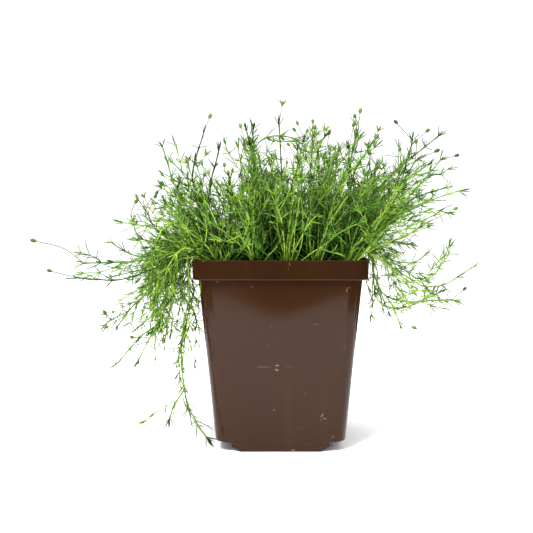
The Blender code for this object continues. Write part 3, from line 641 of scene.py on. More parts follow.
def leafy_shoot(growth, line, radius, tip_radius, spacing, draw, bare, twigs, tone, leaf_tone, stray,
                fullness=1.0, sides=3, leaf_size=1.0, leaf_angle=PAIR_ANGLE):
    """A stem with swollen nodes, a pair and a bundle of blades at each, side twigs and a brush at its tip."""
    line, marks = wandering(line, spacing, stray, draw)
    whole = lengths_along(line)[-1]
    shares, swells = np.array(NODE_FORM).T
    places = np.append((marks[:-1, None] + np.diff(marks)[:, None] * shares).ravel(), whole)
    swells = np.append(np.tile(swells, len(marks) - 1), NODE_SWELL)
    radii = swells * (radius + (tip_radius - radius) * places / whole)
    stem_tone = tone + draw.uniform(-STEM_TONE_CHANGE, STEM_TONE_CHANGE)
    growth.tube(points_at(line, places), radii, sides, STEM_BAND, stem_tone)
    nodes = points_at(line, marks)
    ways = unit(points_at(line, np.minimum(marks + 1, whole)) - points_at(line, np.maximum(marks - 1, 0)))
    turn = draw.uniform(0, math.tau)
    for node, way, mark in zip(nodes[1:], ways[1:], marks[1:]):
        turn += math.pi / 2 + draw.normal(0, NODE_TURN_CHANGE)
        if mark < bare * whole:
            continue
        node_tone = leaf_tone + draw.normal(0, NODE_TONE_CHANGE)
        # Painted shade: leaves over the soil get darker tones the lower they are
        if np.abs(node[:2]).max() < RIM_HALF:
            node_tone -= LOW_PAINTED_SHADE * max(0, 1 - (node[2] - GROUND) / LOW_PAINTED_SHADE_HEIGHT)
        if mark == marks[-1]:
            for _ in range(draw.integers(*TIP_BLADES)):
                fan_blade(growth, node, way, draw.uniform(0, math.tau), TIP_BLADE_ANGLE, TIP_BLADE_LENGTH,
                          node_tone, draw, leaf_size)
            continue
        for side in (0, math.pi):
            fan_blade(growth, node, way, turn + side + draw.normal(0, PAIR_TURN_CHANGE), leaf_angle,
                      PAIR_LENGTH, node_tone, draw, leaf_size)
        for _ in range(draw.poisson(BUNDLE * fullness)):
            fan_blade(growth, node, way, draw.uniform(0, math.tau), BUNDLE_ANGLE, BUNDLE_LENGTH,
                      node_tone, draw, width=BUNDLE_WIDTH)
        if draw.random() < twigs:
            twig(growth, node, way, turn + math.pi / 2, radius, draw, tone)
    growth.tops.append(nodes[-1])


def twig(growth, root, way, turn, radius, draw, tone):
    """A side twig that bends towards its stem's direction, where there is room for it."""
    angle = math.radians(draw.uniform(*TWIG_ANGLE))
    length = draw.uniform(*TWIG_LENGTH)
    out = way * math.cos(angle) + outward(way, turn) * math.sin(angle)
    line = arch(root, root + out * length * 0.55, root + (out + way * 0.35) * length * 0.9)
    if is_free(line):
        leafy_shoot(growth, line, radius * TWIG_THIN, FINE_STEM_TIP, TWIG_NODES, draw, bare=0.0, twigs=0,
                    tone=tone, leaf_tone=draw.uniform(*TWIG_LEAF_TONE), stray=TWIG_STRAY)


def stalk_and_pod(growth, line, draw, opened=False):
    """A thread-like stalk with a seed capsule in its sepals, closed or split into curled valves."""
    tone = draw.uniform(*(OPEN_POD_TONE if opened else POD_TONE))
    growth.tube(even_points(line, 3), None, STALK_SIDES, STALK_BAND, tone)
    end = line[-1]
    way = unit(end - line[-3])
    size = draw.uniform(*POD_SIZE)
    half = POD_LENGTH * size / 2
    if opened:
        for valve in range(VALVES):
            out = outward(way, math.tau * valve / VALVES)
            root = end + way * half * 0.9 + out * POD_RADIUS * 0.75
            growth.blade(root, unit(way + out * 0.5), -out, -0.75, VALVE_LENGTH * size, 1.2, 0.9, POD_BAND)
    shares, widths = np.array(OPEN_POD_FORM if opened else POD_FORM).T
    points = end + way * ((shares + 1) * half)[:, None]
    growth.tube(points, widths * POD_RADIUS * size, POD_SIDES, POD_BAND, tone)
    for sepal in range(SEPALS):
        out = outward(way, math.tau * (sepal + 0.5) / SEPALS)
        along = unit(way + out * draw.uniform(*SEPAL_SPREAD))
        growth.blade(end + out * 0.2, along, way, 0.3, SEPAL_LENGTH * size, 1.0, tone)


def underside_height(x, y):
    """How low the cushion reaches outside the rim, where no stem hangs."""
    aside = max(0, abs(x) - RIM_HALF)
    depth = max(0, abs(y) - RIM_HALF)
    curve = UNDERSIDE_RIGHT if x > 0 else UNDERSIDE_LEFT
    return UNDERSIDE_LOW + curve * aside**2 + UNDERSIDE_DEPTH * depth**2


def hides_front(points):
    """Which points stand before the pot's front, which is seen in full."""
    outer = np.where(points[:, 2] > RIM_LOW, RIM_HALF, wall_half(points[:, 2])) + FRONT_SHOWN
    before = (points[:, 1] < FRONT_DEPTH - RIM_HALF) & (np.abs(points[:, 0]) < outer)
    return before & (points[:, 2] < POT_HEIGHT + RIM_SHOWN)


def is_free(points):
    """Whether a line keeps clear of the pot and of its front."""
    return free_of_pot(points, LINE_MARGIN).all() and not hides_front(points).any()


def soil_point(crown, rise, draw):
    """A place near a crown, a little over the soil."""
    return np.array((*(crown + draw.normal(0, CROWN_SCATTER, 2)), GROUND + rise))


def filler_line(crown, share, draw):
    """A shoot from the soil near a crown up to its share of the cushion's height there."""
    for _ in range(TRIES):
        start = soil_point(crown, 0.5, draw)
        if np.abs(start[:2]).max() > RIM_HALF_LOW - WALL - SOIL_EDGE:
            continue
        push = 0.6 + 0.4 * share
        reach_x = (REACH_RIGHT if start[0] > 0 else REACH_LEFT) * push
        reach_y = (REACH_BACK if start[1] > 0 else REACH_FRONT) * push
        x = start[0] * reach_x * draw.uniform(0.6, 1.0) + draw.normal(0, FAN)
        y = start[1] * reach_y * draw.uniform(0.6, 1.0) + draw.normal(0, FAN)
        low = underside_height(x, y)
        high = min(outline_height(x, y), outline_height(x * seen_size(y), 0))
        high -= np.interp(x, THIN_X, THIN_DROP)
        if low > high or x * seen_size(y) > CUSHION_RIGHT:
            continue
        end = np.array((x, y, low + (high - low) * share))
        lean, lift = draw.uniform(0.15, 0.75), draw.uniform(0.3, 0.7)
        bow = start + (end - start) * np.array((lean, lean, lift)) + np.array((*draw.normal(0, 4, 2), 0))
        line = arch(start, bow, end)
        if is_free(line[2:]):
            return line
    return None


def seen_size(y):
    """How much larger a thing is seen from the front than one in the middle of the pot."""
    return CAMERA_AWAY / (CAMERA_AWAY + y)


def hanger_line(crown, draw):
    """A shoot that leans over the left of the rim and hangs down, curling, or lies out over the others."""
    start = soil_point(crown, 0.5, draw)
    drop = draw.triangular(*HANGER_DROP)
    out = draw.uniform(*HANGER_OUT) + 0.1 * drop
    y = start[1] * draw.uniform(0.7, 1.15) + draw.normal(0, 4)
    edge = np.array((-RIM_HALF - draw.uniform(0, 4), y, POT_HEIGHT + draw.triangular(2.5, 5, 22)))
    knee = np.array((edge[0] - out * 0.7, y + draw.normal(0, 4), edge[2] + draw.uniform(-9, 4)))
    fall = np.array((knee[0] - out * draw.uniform(0.1, 0.7), knee[1] + draw.normal(0, 5),
                     knee[2] - drop * 0.55))
    end = fall + np.array((draw.normal(0, 6), draw.normal(0, 6), -drop * 0.5 + draw.uniform(-3, 7)))
    return smooth_line((start, edge, knee, fall, end))


def crosser_line(crown, draw):
    """A shoot that lies low beside its crown for a while and then rises."""
    start = soil_point(crown, 1, draw)
    way = draw.choice((-1, 1))
    reach = draw.uniform(*CROSSER_REACH)
    low = start + np.array((way * reach * 0.5, draw.normal(0, 3), POT_HEIGHT - GROUND + draw.uniform(0, 5)))
    knee = low + np.array((way * reach * 0.4, draw.normal(0, 3), draw.uniform(4, 12)))
    end = knee + np.array((way * draw.uniform(2, 12), draw.normal(0, 4), draw.uniform(14, 34)))
    return smooth_line((start, low, knee, end))


def companion_line(line, draw):
    """A shorter line beside a long stem, spreading from it."""
    reach = lengths_along(line)[-1] * draw.triangular(*COMPANION_REACH)
    beside = points_at(line, np.linspace(0, reach, LINE_POINTS))
    step = np.linspace(0, 1, LINE_POINTS)[:, None] ** 1.3
    spread = draw.normal(0, 1, 3) * np.array(COMPANION_SPREAD)
    wave = draw.normal(0, 1, 3) * COMPANION_WAVE * np.sin(step * math.pi * 2)
    return beside + spread * step + wave * step


def ring_faces(rings, count):
    """The walls between rings of points, and the two ends."""
    around = np.arange(count)
    rows = np.arange(rings - 1)[:, None] * count
    low, beside = (rows + around).ravel(), (rows + (around + 1) % count).ravel()
    walls = np.column_stack((low, beside, beside + count, low + count))
    return [walls, np.array((around[::-1], (rings - 1) * count + around))]


def tube_part(points, radii, sides, band, tone):
    """Vertices, map places and faces of a closed tube."""
    count = len(points)
    radii = np.full(count, FINE_STALK) if radii is None else radii
    ways = unit(np.gradient(points, axis=0))
    side = unit(np.cross(ways, np.eye(3)[np.abs(ways.mean(axis=0)).argmin()]))
    up = np.cross(ways, side)
    turns = np.arange(sides) * 2 * math.pi / sides
    ring = side[:, None] * np.cos(turns)[:, None] + up[:, None] * np.sin(turns)[:, None]
    places = (points[:, None] + ring * radii[:, None, None]).reshape(-1, 3)
    first = np.repeat(np.linspace(*band, count), sides)
    second = np.tile(tone + TONE_SPREAD * (np.arange(sides) - (sides - 1) / 2), count)
    return places, np.column_stack((first, second)), ring_faces(count, sides)


def blade_part(rows):
    """Vertices, map places and faces of three-sided blades, with the sections of BLADE_FORM and a point."""
    root, along, inner = rows[:, 0:3], rows[:, 3:6], rows[:, 6:9]
    bend, length, width, tone, low, high = rows[:, 9:].T
    side = unit(np.cross(along, inner))
    sections = len(BLADE_FORM)
    size = 3 * sections + 1
    places = np.zeros((len(rows), size, 3))
    maps = np.zeros((len(rows), size, 2))
    for index, (cut, share) in enumerate((*BLADE_FORM, (1.0, 0.0))):
        middle = root + length[:, None] * (along * cut + inner * (bend * cut**2)[:, None])
        first = low + (high - low) * cut
        if index == sections:
            places[:, -1] = middle
            maps[:, -1] = np.column_stack((first, tone))
            continue
        half = side * (width * share / 2)[:, None]
        keel = inner * (width * share * BLADE_KEEL)[:, None]
        for corner, (shift, tone_shift) in enumerate(((-half, -1), (half, 1), (-keel, 0))):
            places[:, 3 * index + corner] = middle + shift
            maps[:, 3 * index + corner] = np.column_stack((first, tone + tone_shift * TONE_SPREAD))
    walls, ends = ring_faces(sections, 3)
    last = 3 * (sections - 1)
    point = [(last + a, last + b, size - 1) for a, b in ((0, 1), (1, 2), (2, 0))]
    offsets = (np.arange(len(rows)) * size)[:, None, None]
    kinds = (walls, np.vstack((ends[:1], point)))
    faces = [(offsets + kind[None]).reshape(-1, kind.shape[1]) for kind in kinds]
    return places.reshape(-1, 3), maps.reshape(-1, 2), faces


def add_object(name, data):
    thing = bpy.data.objects.new(name, data)
    bpy.context.scene.collection.objects.link(thing)
    return thing


def mesh_from(name, parts):
    """One object from parts of vertices in millimetres, map places and faces."""
    loops, totals = [], []
    offset = 0
    for vertices, _, faces in parts:
        for kind in faces:
            loops.append((kind + offset).ravel())
            totals.append(np.full(len(kind), kind.shape[1]))
        offset += len(vertices)
    places, maps = (np.vstack([part[index] for part in parts]) for index in (0, 1))
    loops, totals = np.concatenate(loops), np.concatenate(totals)
    mesh = bpy.data.meshes.new(name)
    mesh.vertices.add(len(places))
    mesh.vertices.foreach_set("co", (places * MM).astype(np.float32).ravel())
    mesh.loops.add(len(loops))
    mesh.loops.foreach_set("vertex_index", loops.astype(np.int32))
    mesh.polygons.add(len(totals))
    mesh.polygons.foreach_set("loop_start", np.concatenate([[0], np.cumsum(totals)[:-1]]).astype(np.int32))
    mesh.polygons.foreach_set("use_smooth", np.ones(len(totals), dtype=bool))
    layer = mesh.uv_layers.new(name="OFBake")
    layer.data.foreach_set("uv", maps[loops].astype(np.float32).ravel())
    mesh.update(calc_edges=True)
    mesh.validate()
    return add_object(name, mesh)


def growth_object(name, growth):
    """A tuft's piece: its tubes, and the blades that keep clear of the pot, its front and the size limit."""
    low, high = (np.array(corner) / MM for corner in CAD_BOX)
    rows = np.array(growth.blades)
    reach = rows[:, 3:6] * rows[:, 10:11]
    tips, middles = rows[:, 0:3] + reach, rows[:, 0:3] + reach * 0.5
    keep = free_of_pot(tips, BLADE_MARGIN) & free_of_pot(middles, BLADE_MARGIN) & ~hides_front(tips)
    keep &= ((tips > low - OVER_BOX) & (tips < high + OVER_BOX)).all(axis=1) & (tips[:, 2] > OVER_FLOOR)
    return mesh_from(name, [*(tube_part(*tube) for tube in growth.tubes), blade_part(rows[keep])])


def is_outer(tuft):
    middle = (TUFTS_EACH_WAY - 1) / 2
    return max(abs(tuft[0] - middle), abs(tuft[1] - middle)) == middle


def place_of(stem):
    """Where a long stem ends: up, hanging below the cushion, or hanging almost to the floor."""
    x, _, z = stem.route[-1]
    if z < DEEP:
        return "deep"
    return "hanging" if z < (HANGING_RIGHT if x > 0 else HANGING_LEFT) else "up"


def companions_of(stem):
    """How many shoots go beside a long stem."""
    x, _, z = stem.route[-1]
    if z > HIGH:
        if x > FAR_RIGHT:
            return 0
        return COMPANIONS_UP if abs(x) < MIDDLE_HALF else COMPANIONS_UP_ASIDE
    return COMPANIONS_DEEP if z < DEEP else COMPANIONS_LOW


def grow_solid_stem(growth, stem, crown, draw):
    """The fine form of one stem of the solids, with the shoots that go beside it if it is a long one."""
    line = smooth_line(stem.route)
    if not stem.leafy:
        stalk_and_pod(growth, line, draw, opened=any(np.allclose(line[-1], place) for place in OPEN_PODS))
        return
    if stem.from_crown:
        line = np.vstack(((*crown, GROUND - ROOT_DEPTH), line))
    if not stem.long:
        leafy_shoot(growth, line, FINE_STEM, FINE_STEM_TIP, SHOOT_NODES, draw, tone=draw.uniform(*SOLID_TONE),
                    leaf_tone=draw.uniform(*SOLID_LEAF_TONE), **SOLID_SHOOT)
        return
    tone, leaf_tone = LONG_TONES[place_of(stem)]
    leafy_shoot(growth, line, LONG_STEM, LONG_STEM_TIP, LONG_NODES, draw, tone=draw.uniform(*tone),
                leaf_tone=draw.uniform(*leaf_tone), **LONG_SHOOT)
    if stem.from_crown:
        tone, leaf_tone = COMPANION_TONES[place_of(stem)]
        for _ in range(companions_of(stem)):
            try_shoot(growth, companion_line(line, draw), draw, tone=tone, leaf_tone=leaf_tone, **COMPANION)


def try_shoot(growth, line, draw, tone, leaf_tone, stray=STRAY, **look):
    """A shoot along a line, if the line keeps clear of the pot and of its front."""
    whole = lengths_along(line)[-1]
    start = min(UNTESTED_LENGTH, UNTESTED_SHARE * whole)
    if is_free(points_at(line, np.linspace(start, whole, LINE_POINTS))):
        leafy_shoot(growth, line, FINE_STEM * draw.uniform(*STEM_CHANGE), FINE_STEM_TIP, SHOOT_NODES, draw,
                    tone=draw.uniform(*tone), leaf_tone=draw.uniform(*leaf_tone), stray=stray, **look)


def grow_tuft(tuft, crown, stems, draw):
    """A tuft's crown, the fine form of its solid stems, the shoots between them and the low ones below."""
    growth = Growth()
    outer = is_outer(tuft)
    in_front = tuft[1] == 0
    peg = np.array((*crown, GROUND - CROWN_DEPTH + 2))
    rises, radii = np.array(PEG_FORM).T
    growth.tube(peg + rises[:, None] * np.array((0, 0, 1)), radii, PEG_SIDES, STEM_BAND, PEG_TONE)
    for stem in stems:
        grow_solid_stem(growth, stem, crown, draw)
    for _ in range(FILLERS_OUTSIDE if outer else FILLERS_INSIDE):
        line = filler_line(crown, draw.triangular(*FILLER_SHARES), draw)
        if line is not None:
            bare = draw.uniform(*(FILLER_BARE_IN_FRONT if in_front else FILLER_BARE))
            try_shoot(growth, line, draw, bare=bare, **(FILLER_OUTSIDE if outer else FILLER_INSIDE))
    for _ in range(LOW_SHOOTS_OUTSIDE if outer else LOW_SHOOTS_INSIDE):
        line = filler_line(crown, draw.uniform(*LOW_SHARES), draw)
        if line is not None:
            try_shoot(growth, line, draw, leaf_size=LOW_SHOOT_LEAVES if in_front else 1.0,
                      **(LOW_OUTSIDE if outer else LOW_INSIDE))
    for _ in range(CROSSERS_A_TUFT if outer else 0):
        try_shoot(growth, crosser_line(crown, draw), draw, bare=draw.uniform(*CROSSER_BARE), **CROSSER)
    for _ in range(HANGERS_A_TUFT if tuft[0] == 0 else 0):
        try_shoot(growth, hanger_line(crown, draw), draw, bare=draw.uniform(*HANGER_BARE), **HANGER)
    return growth


def add_pod(growths, place, opened, draw):
    """A capsule at a place, on a stalk from the nearest shoot's tip that lies lower."""
    place = np.array(place, dtype=float)
    lower = [(growth, top) for growth in growths for top in growth.tops if top[2] < place[2] - POD_OVER_TIP]
    growth, top = min(lower, key=lambda pair: np.linalg.norm(pair[1] - place))
    bow = (top + place) / 2 + np.array((*draw.normal(0, 0.08, 2), 0)) * np.linalg.norm(top - place)
    stalk_and_pod(growth, smooth_line((top, bow, place)), draw, opened=opened)


def add_pods(growths, draw):
    """The capsules that the photo shows beside those of the solids, and one on each tuft near the top."""
    for place, opened in EXTRA_PODS:
        add_pod(growths, place, opened, draw)
    for growth in growths:
        high = [top for top in growth.tops if outline_height(*top[:2]) - top[2] < POD_DEPTH]
        if high:
            top = high[draw.integers(len(high))]
            place = top + np.array((*draw.normal(0, 4, 2), draw.uniform(7, 14)))
            line = smooth_line((top, (top + place) / 2 + np.array((*draw.normal(0, 1, 2), 0)), place))
            stalk_and_pod(growth, line, draw, opened=draw.random() < OPEN_PODS_SHARE)


def add_dry_strand(growth, draw):
    """A dead, curled end of a shoot."""
    starts = [top for top in growth.tops if DRY_HEIGHTS[0] < top[2] < DRY_HEIGHTS[1]]
    if starts:
        start = starts[draw.integers(len(starts))]
        ways = np.cumsum(draw.normal(0, DRY_CURL, (DRY_STEPS, 3)), axis=0) + np.array((0, 0, 0.3))
        line = smooth_line(np.vstack((start, start + np.cumsum(unit(ways) * DRY_STEP, axis=0))))
        if free_of_pot(line, DRY_MARGIN).all():
            growth.tube(even_points(line, 1.5), None, STALK_SIDES, DRY_BAND, draw.uniform(*DRY_TONE))


def twine_deep_stem(growth, stem, draw):
    """Leafy shoots twined with the lower part of a stem that hangs almost to the floor."""
    line = smooth_line(stem.route)
    whole = lengths_along(line)[-1]
    for reach in TWINED_REACHES:
        part = points_at(line, np.linspace(TWINED_START * whole, reach * whole, LINE_POINTS))
        try_shoot(growth, part, draw, **TWINED)


def grow_fine_moss(crowns, stems):
    """The fine moss of every tuft, in the place of its solid."""
    draw = np.random.default_rng(FINE_SEED)
    growths = {}
    for tuft, crown in crowns.items():
        growths[tuft] = grow_tuft(tuft, crown, [stem for stem in stems if stem.tuft == tuft], draw)
    add_pods(list(growths.values()), draw)
    for tuft, growth in growths.items():
        if is_outer(tuft):
            add_dry_strand(growth, draw)
    for stem in stems:
        if stem.from_crown and place_of(stem) == "deep":
            twine_deep_stem(growths[stem.tuft], stem, draw)
    pieces = []
    for index, growth in enumerate(growths.values()):
        piece = growth_object(f"moss_sprigs_{index:02d}", growth)
        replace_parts(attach(piece, "root"), f"moss_tuft_{index:02d}")
        pieces.append(piece)
    return pieces


class Nodes:
    """Short ways to add shader nodes to a material."""

    def __init__(self, name):
        self.material = bpy.data.materials.new(name)
        self.material.use_nodes = True
        self.tree = self.material.node_tree
        self.shader = self.tree.nodes["Principled BSDF"]
        self.output = self.tree.nodes["Material Output"]

    def add(self, kind, settings=(), **inputs):
        """A new node. An input is named with _ for each space, or by the letter i and its number."""
        node = self.tree.nodes.new("ShaderNode" + kind)
        for name, value in dict(settings).items():
            setattr(node, name, value)
        self.fill(node, **inputs)
        return node

    def fill(self, node, **inputs):
        for name, value in inputs.items():
            key = int(name[1:]) if name[1:].isdigit() else name.replace("_", " ")
            self.put(node.inputs[key], value)

    def put(self, socket, value):
        if isinstance(value, bpy.types.NodeSocket):
            self.tree.links.new(value, socket)
        else:
            socket.default_value = value

    def math(self, operation, a, b=0.0):
        return self.add("Math", {"operation": operation}, i0=a, i1=b).outputs[0]

    def noise(self, vector, scale, detail=2.0, roughness=0.5):
        return self.add("TexNoise", Vector=vector, Scale=scale, Detail=detail, Roughness=roughness).outputs[0]

    def spread(self, value, low, high, to_low, to_high):
        return self.add("MapRange", i0=value, i1=low, i2=high, i3=to_low, i4=to_high).outputs[0]

    def ramp(self, value, stops):
        node = self.add("ValToRGB", Fac=value)
        marks = node.color_ramp.elements
        while len(marks) < len(stops):
            marks.new(0.5)
        for mark, (place, colour) in zip(marks, stops):
            mark.position = place
            mark.color = (*colour, 1)
        return node.outputs[0]

    def mix(self, share, a, b, blend="MIX"):
        node = self.add("Mix", {"data_type": "RGBA", "blend_type": blend}, i0=share)
        for socket, value in ((node.inputs[6], a), (node.inputs[7], b)):
            self.put(socket, (*value, 1) if isinstance(value, tuple) and len(value) == 3 else value)
        return node.outputs[2]


def moss_material():
    """Colours by what a point is on, along the map's first direction, and by its tone along the second, which
    also holds painted shade and painted light.
    """
    nodes = Nodes("living_moss")
    spot = nodes.add("SeparateXYZ", Vector=nodes.add("UVMap", {"uv_map": "OFBake"}).outputs[0])
    colour = nodes.ramp(spot.outputs[0], MOSS_COLOURS)
    shade = nodes.ramp(spot.outputs[1], MOSS_SHADES)
    painted = nodes.mix(1.0, colour, shade, "MULTIPLY")
    nodes.fill(nodes.shader, Base_Color=painted, Roughness=0.42, Specular_IOR_Level=0.24)
    through = nodes.add("BsdfTranslucent", Color=nodes.mix(1.0, painted, (1.2, 1.1, 0.7), "MULTIPLY"))
    mixed = nodes.add("MixShader", i0=0.18, i1=nodes.shader.outputs[0], i2=through.outputs[0])
    nodes.fill(nodes.output, Surface=mixed.outputs[0])
    return nodes.material


def mark(nodes, place, centre, size, turn):
    """A soft-edged oval on the front, in millimetres: 1 inside and 0 outside."""
    spot = nodes.add("Mapping", {"vector_type": "TEXTURE"}, Vector=place, Location=tuple(Vector(centre) * MM),
                     Rotation=(0, math.radians(turn), 0), Scale=tuple(Vector(size) * MM)).outputs[0]
    away = nodes.add("VectorMath", {"operation": "LENGTH"}, i0=spot).outputs["Value"]
    return nodes.spread(away, 0.7, 1.0, 1, 0)


def pot_material():
    """Glossy brown plastic with faint flow streaks, dust, scuffs and painted shade that darkens the rim."""
    nodes = Nodes("moulded_plastic")
    place = nodes.add("TexCoord").outputs["Object"]
    broad = nodes.noise(place, 18, 3)
    fine = nodes.noise(place, 420, 2)
    streaks = nodes.noise(nodes.add("Mapping", Vector=place, Scale=(90, 90, 4)).outputs[0], 1, 3)
    scratches = nodes.noise(nodes.add("Mapping", Vector=place, Rotation=(0.5, 0.9, 0.3),
                                      Scale=(900, 60, 60)).outputs[0], 1, 2)
    colour = nodes.mix(nodes.spread(broad, 0.35, 0.7, 0, 1), PLASTIC_DARK, PLASTIC_LIGHT)
    colour = nodes.mix(nodes.spread(streaks, 0.55, 0.8, 0, 0.15), colour, STREAK_COLOUR)
    dust = nodes.math("MULTIPLY", fine, nodes.noise(place, 60, 4, 0.6))
    colour = nodes.mix(nodes.spread(dust, 0.38, 0.5, 0, 0.22), colour, DUST_COLOUR)
    colour = nodes.mix(nodes.spread(scratches, 0.74, 0.8, 0, 0.22), colour, DUST_COLOUR)
    for (x, z), (wide, high), turn, strength in POT_MARKS:
        ragged = nodes.math("MULTIPLY", mark(nodes, place, (x, -wall_half(z), z), (wide, 6, high), turn),
                            nodes.spread(nodes.noise(place, 900, 2), 0.35, 0.6, 0.3, 1))
        colour = nodes.mix(nodes.math("MULTIPLY", ragged, strength), colour, SCUFF_COLOUR)
    # Painted shade: the same plastic is darkened from the rim's lower edge up
    height = nodes.add("SeparateXYZ", Vector=place).outputs[2]
    rim = nodes.spread(height, (RIM_LOW - 1) * MM, RIM_LOW * MM, 1, RIM_PAINTED_SHADE)
    nodes.fill(nodes.shader, Base_Color=nodes.mix(1.0, colour, rim, "MULTIPLY"),
               Roughness=nodes.spread(broad, 0.3, 0.7, 0.09, 0.13), Specular_IOR_Level=0.175)
    bump = nodes.add("Bump", Strength=0.1, Distance=0.0004, Height=nodes.noise(place, 70, 3))
    nodes.fill(nodes.shader, Normal=bump.outputs[0])
    return nodes.material


def compost_material():
    nodes = Nodes("potting_compost")
    place = nodes.add("TexCoord").outputs["Object"]
    colour = nodes.ramp(nodes.noise(place, 700, 3), COMPOST_COLOURS)
    nodes.fill(nodes.shader, Base_Color=colour, Roughness=0.92)
    bump = nodes.add("Bump", Strength=0.7, Distance=0.0006, Height=nodes.noise(place, 900, 3))
    nodes.fill(nodes.shader, Normal=bump.outputs[0])
    return nodes.material


def rounded_ring(half, radius, z):
    """A square outline with round corners, counted round from +X."""
    points = []
    for corner, (side, front) in enumerate(((1, 1), (-1, 1), (-1, -1), (1, -1))):
        for step in range(RING_STEPS + 1):
            turn = math.pi / 2 * (corner + step / RING_STEPS)
            points.append((side * (half - radius) + radius * math.cos(turn),
                           front * (half - radius) + radius * math.sin(turn), z))
    return np.array(points)


def loft(name, outline, inset=0.0):
    """A closed solid through rounded squares, by height and half width, with corners tighter by the inset."""
    points = np.vstack([rounded_ring(half, CORNER_RADIUS - inset, z) for z, half in outline])
    faces = ring_faces(len(outline), len(points) // len(outline))
    return mesh_from(name, [(points, np.zeros((len(points), 2)), faces)])


def add_block(shape, place, size, turn=0.0):
    """Adds a block to a bmesh, with its middle and size in millimetres."""
    spot = Matrix.Translation(Vector(place) * MM) @ Matrix.Rotation(turn, 4, "Z")
    bmesh.ops.create_cube(shape, size=1, matrix=spot @ Matrix.Diagonal((*(Vector(size) * MM), 1)))


def cutter_from(name, shape):
    """An object from a bmesh, which is freed."""
    mesh = bpy.data.meshes.new(name)
    shape.to_mesh(mesh)
    shape.free()
    return add_object(name, mesh)


def cut(thing, operation, other):
    """Applies a Boolean and takes the other solid away."""
    modifier = thing.modifiers.new("cut", "BOOLEAN")
    modifier.operation = operation
    modifier.solver = "EXACT"
    modifier.object = other
    apply_modifiers(thing)
    bpy.data.objects.remove(other)


def apply_modifiers(thing):
    bpy.context.view_layer.update()
    mesh = bpy.data.meshes.new_from_object(thing.evaluated_get(bpy.context.evaluated_depsgraph_get()))
    thing.modifiers.clear()
    thing.data = mesh


def foot_corners(top, inset):
    """What the foot lacks up to a height, as in the solid: outside a stretched diamond, and corner blocks."""
    low = -PAST
    outer = RIM_HALF + PAST
    frame_block = loft("foot_frame", ((low, outer + PAST), (top, outer + PAST)))
    shape = bmesh.new()
    reach = FOOT_DIAMOND - inset * FOOT_SLOPE * math.sqrt(2)
    bmesh.ops.create_cone(
        shape, cap_ends=True, segments=4, depth=(top - low + 2 * PAST) * MM,
        radius1=(reach + FOOT_SLOPE * (low - PAST)) * MM, radius2=(reach + FOOT_SLOPE * (top + PAST)) * MM,
        matrix=Matrix.Translation((0, 0, (low + top) / 2 * MM)) @ Matrix.Diagonal((1, FOOT_STRETCH, 1, 1)),
    )
    cut(frame_block, "DIFFERENCE", cutter_from("foot_diamond", shape))
    shape = bmesh.new()
    size = (outer - FOOT_WAIST + inset, outer - FOOT_SIDE_FLAT + inset, top - low)
    for side, front in CORNERS:
        add_block(shape, (side * (outer - size[0] / 2), front * (outer - size[1] / 2), (top + low) / 2), size)
    cut(frame_block, "UNION", cutter_from("foot_blocks", shape))
    return frame_block


def soften_raised_corners(mesh):
    """Chamfers the outer lower edge of the pot's raised corners."""
    shape = bmesh.new()
    shape.from_mesh(mesh)
    straight = wall_half(FOOT_RISE) - CORNER_RADIUS

    def on_outline(vertex):
        x, y, z = vertex.co / MM
        away = math.hypot(max(abs(x) - straight, 0), max(abs(y) - straight, 0))
        return abs(z - FOOT_RISE) < 0.05 and abs(away - CORNER_RADIUS) < 0.15

    edges = [edge for edge in shape.edges if on_outline(edge.verts[0]) and on_outline(edge.verts[1])]
    bmesh.ops.bevel(shape, geom=edges, offset=RAISED_CHAMFER * MM, segments=2, profile=0.5, affect="EDGES",
                    clamp_overlap=True)
    shape.to_mesh(mesh)
    shape.free()


def make_pot(material):
    """The moulded pot: the solid's walls and foot with round corners, a rolled rim and softened edges."""
    pot = loft("moulded_pot", (
        (0, FOOT_HALF), (36, wall_half(36)), (72, wall_half(72)), (RIM_LOW, WALL_HALF_TOP), (RIM_LOW, 54.0),
        (RIM_LOW + 0.15, 54.35), (RIM_LOW + 0.5, 54.62), (RIM_LOW + 1.0, 54.7), (RIM_LOW + 1.6, 54.6),
        (RIM_LOW + 2.4, 54.56), (POT_HEIGHT - 1.0, RIM_HALF), (POT_HEIGHT - 0.45, RIM_HALF - 0.1),
        (POT_HEIGHT - 0.12, RIM_HALF - 0.35), (POT_HEIGHT, RIM_HALF - 0.7),
    ))
    cut(pot, "DIFFERENCE", foot_corners(FOOT_RISE, 0))
    soften_raised_corners(pot.data)
    inner = RIM_HALF_LOW - WALL
    hollow = loft("pot_hollow", (
        (WALL, wall_half(WALL) - WALL), (RIM_LOW + WALL, wall_half(RIM_LOW) - WALL), (RIM_LOW + WALL, inner),
        (POT_HEIGHT - 0.7, inner), (POT_HEIGHT - 0.25, inner + 0.1), (POT_HEIGHT, inner + 0.4),
        (POT_HEIGHT + PAST, inner + 0.4),
    ), WALL)
    cut(hollow, "DIFFERENCE", foot_corners(FOOT_RISE + WALL, WALL))
    cut(pot, "DIFFERENCE", hollow)
    shape = bmesh.new()
    x, y, z = SLOT_PLACE
    for side, front in CORNERS:
        add_block(shape, (side * x, front * y, z), SLOT_SIZE, math.atan2(front, side * FOOT_STRETCH))
    cut(pot, "DIFFERENCE", cutter_from("drain_slots", shape))
    bevel = pot.modifiers.new("soft_edges", "BEVEL")
    bevel.width = SOFT_EDGE * MM
    bevel.segments = 2
    bevel.limit_method = "ANGLE"
    bevel.angle_limit = math.radians(SOFT_EDGE_ANGLE)
    apply_modifiers(pot)
    pot.data.polygons.foreach_set("use_smooth", [True] * len(pot.data.polygons))
    pot.data.set_sharp_from_angle(angle=math.radians(SHARP_ANGLE))
    flat = pot.modifiers.new("flat_walls", "WEIGHTED_NORMAL")
    flat.keep_sharp = True
    flat.weight = 100
    apply_modifiers(pot)
    for layer in list(pot.data.uv_layers):
        pot.data.uv_layers.remove(layer)
    paint(pot, material)
    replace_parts(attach(pot, "root"), "pot")


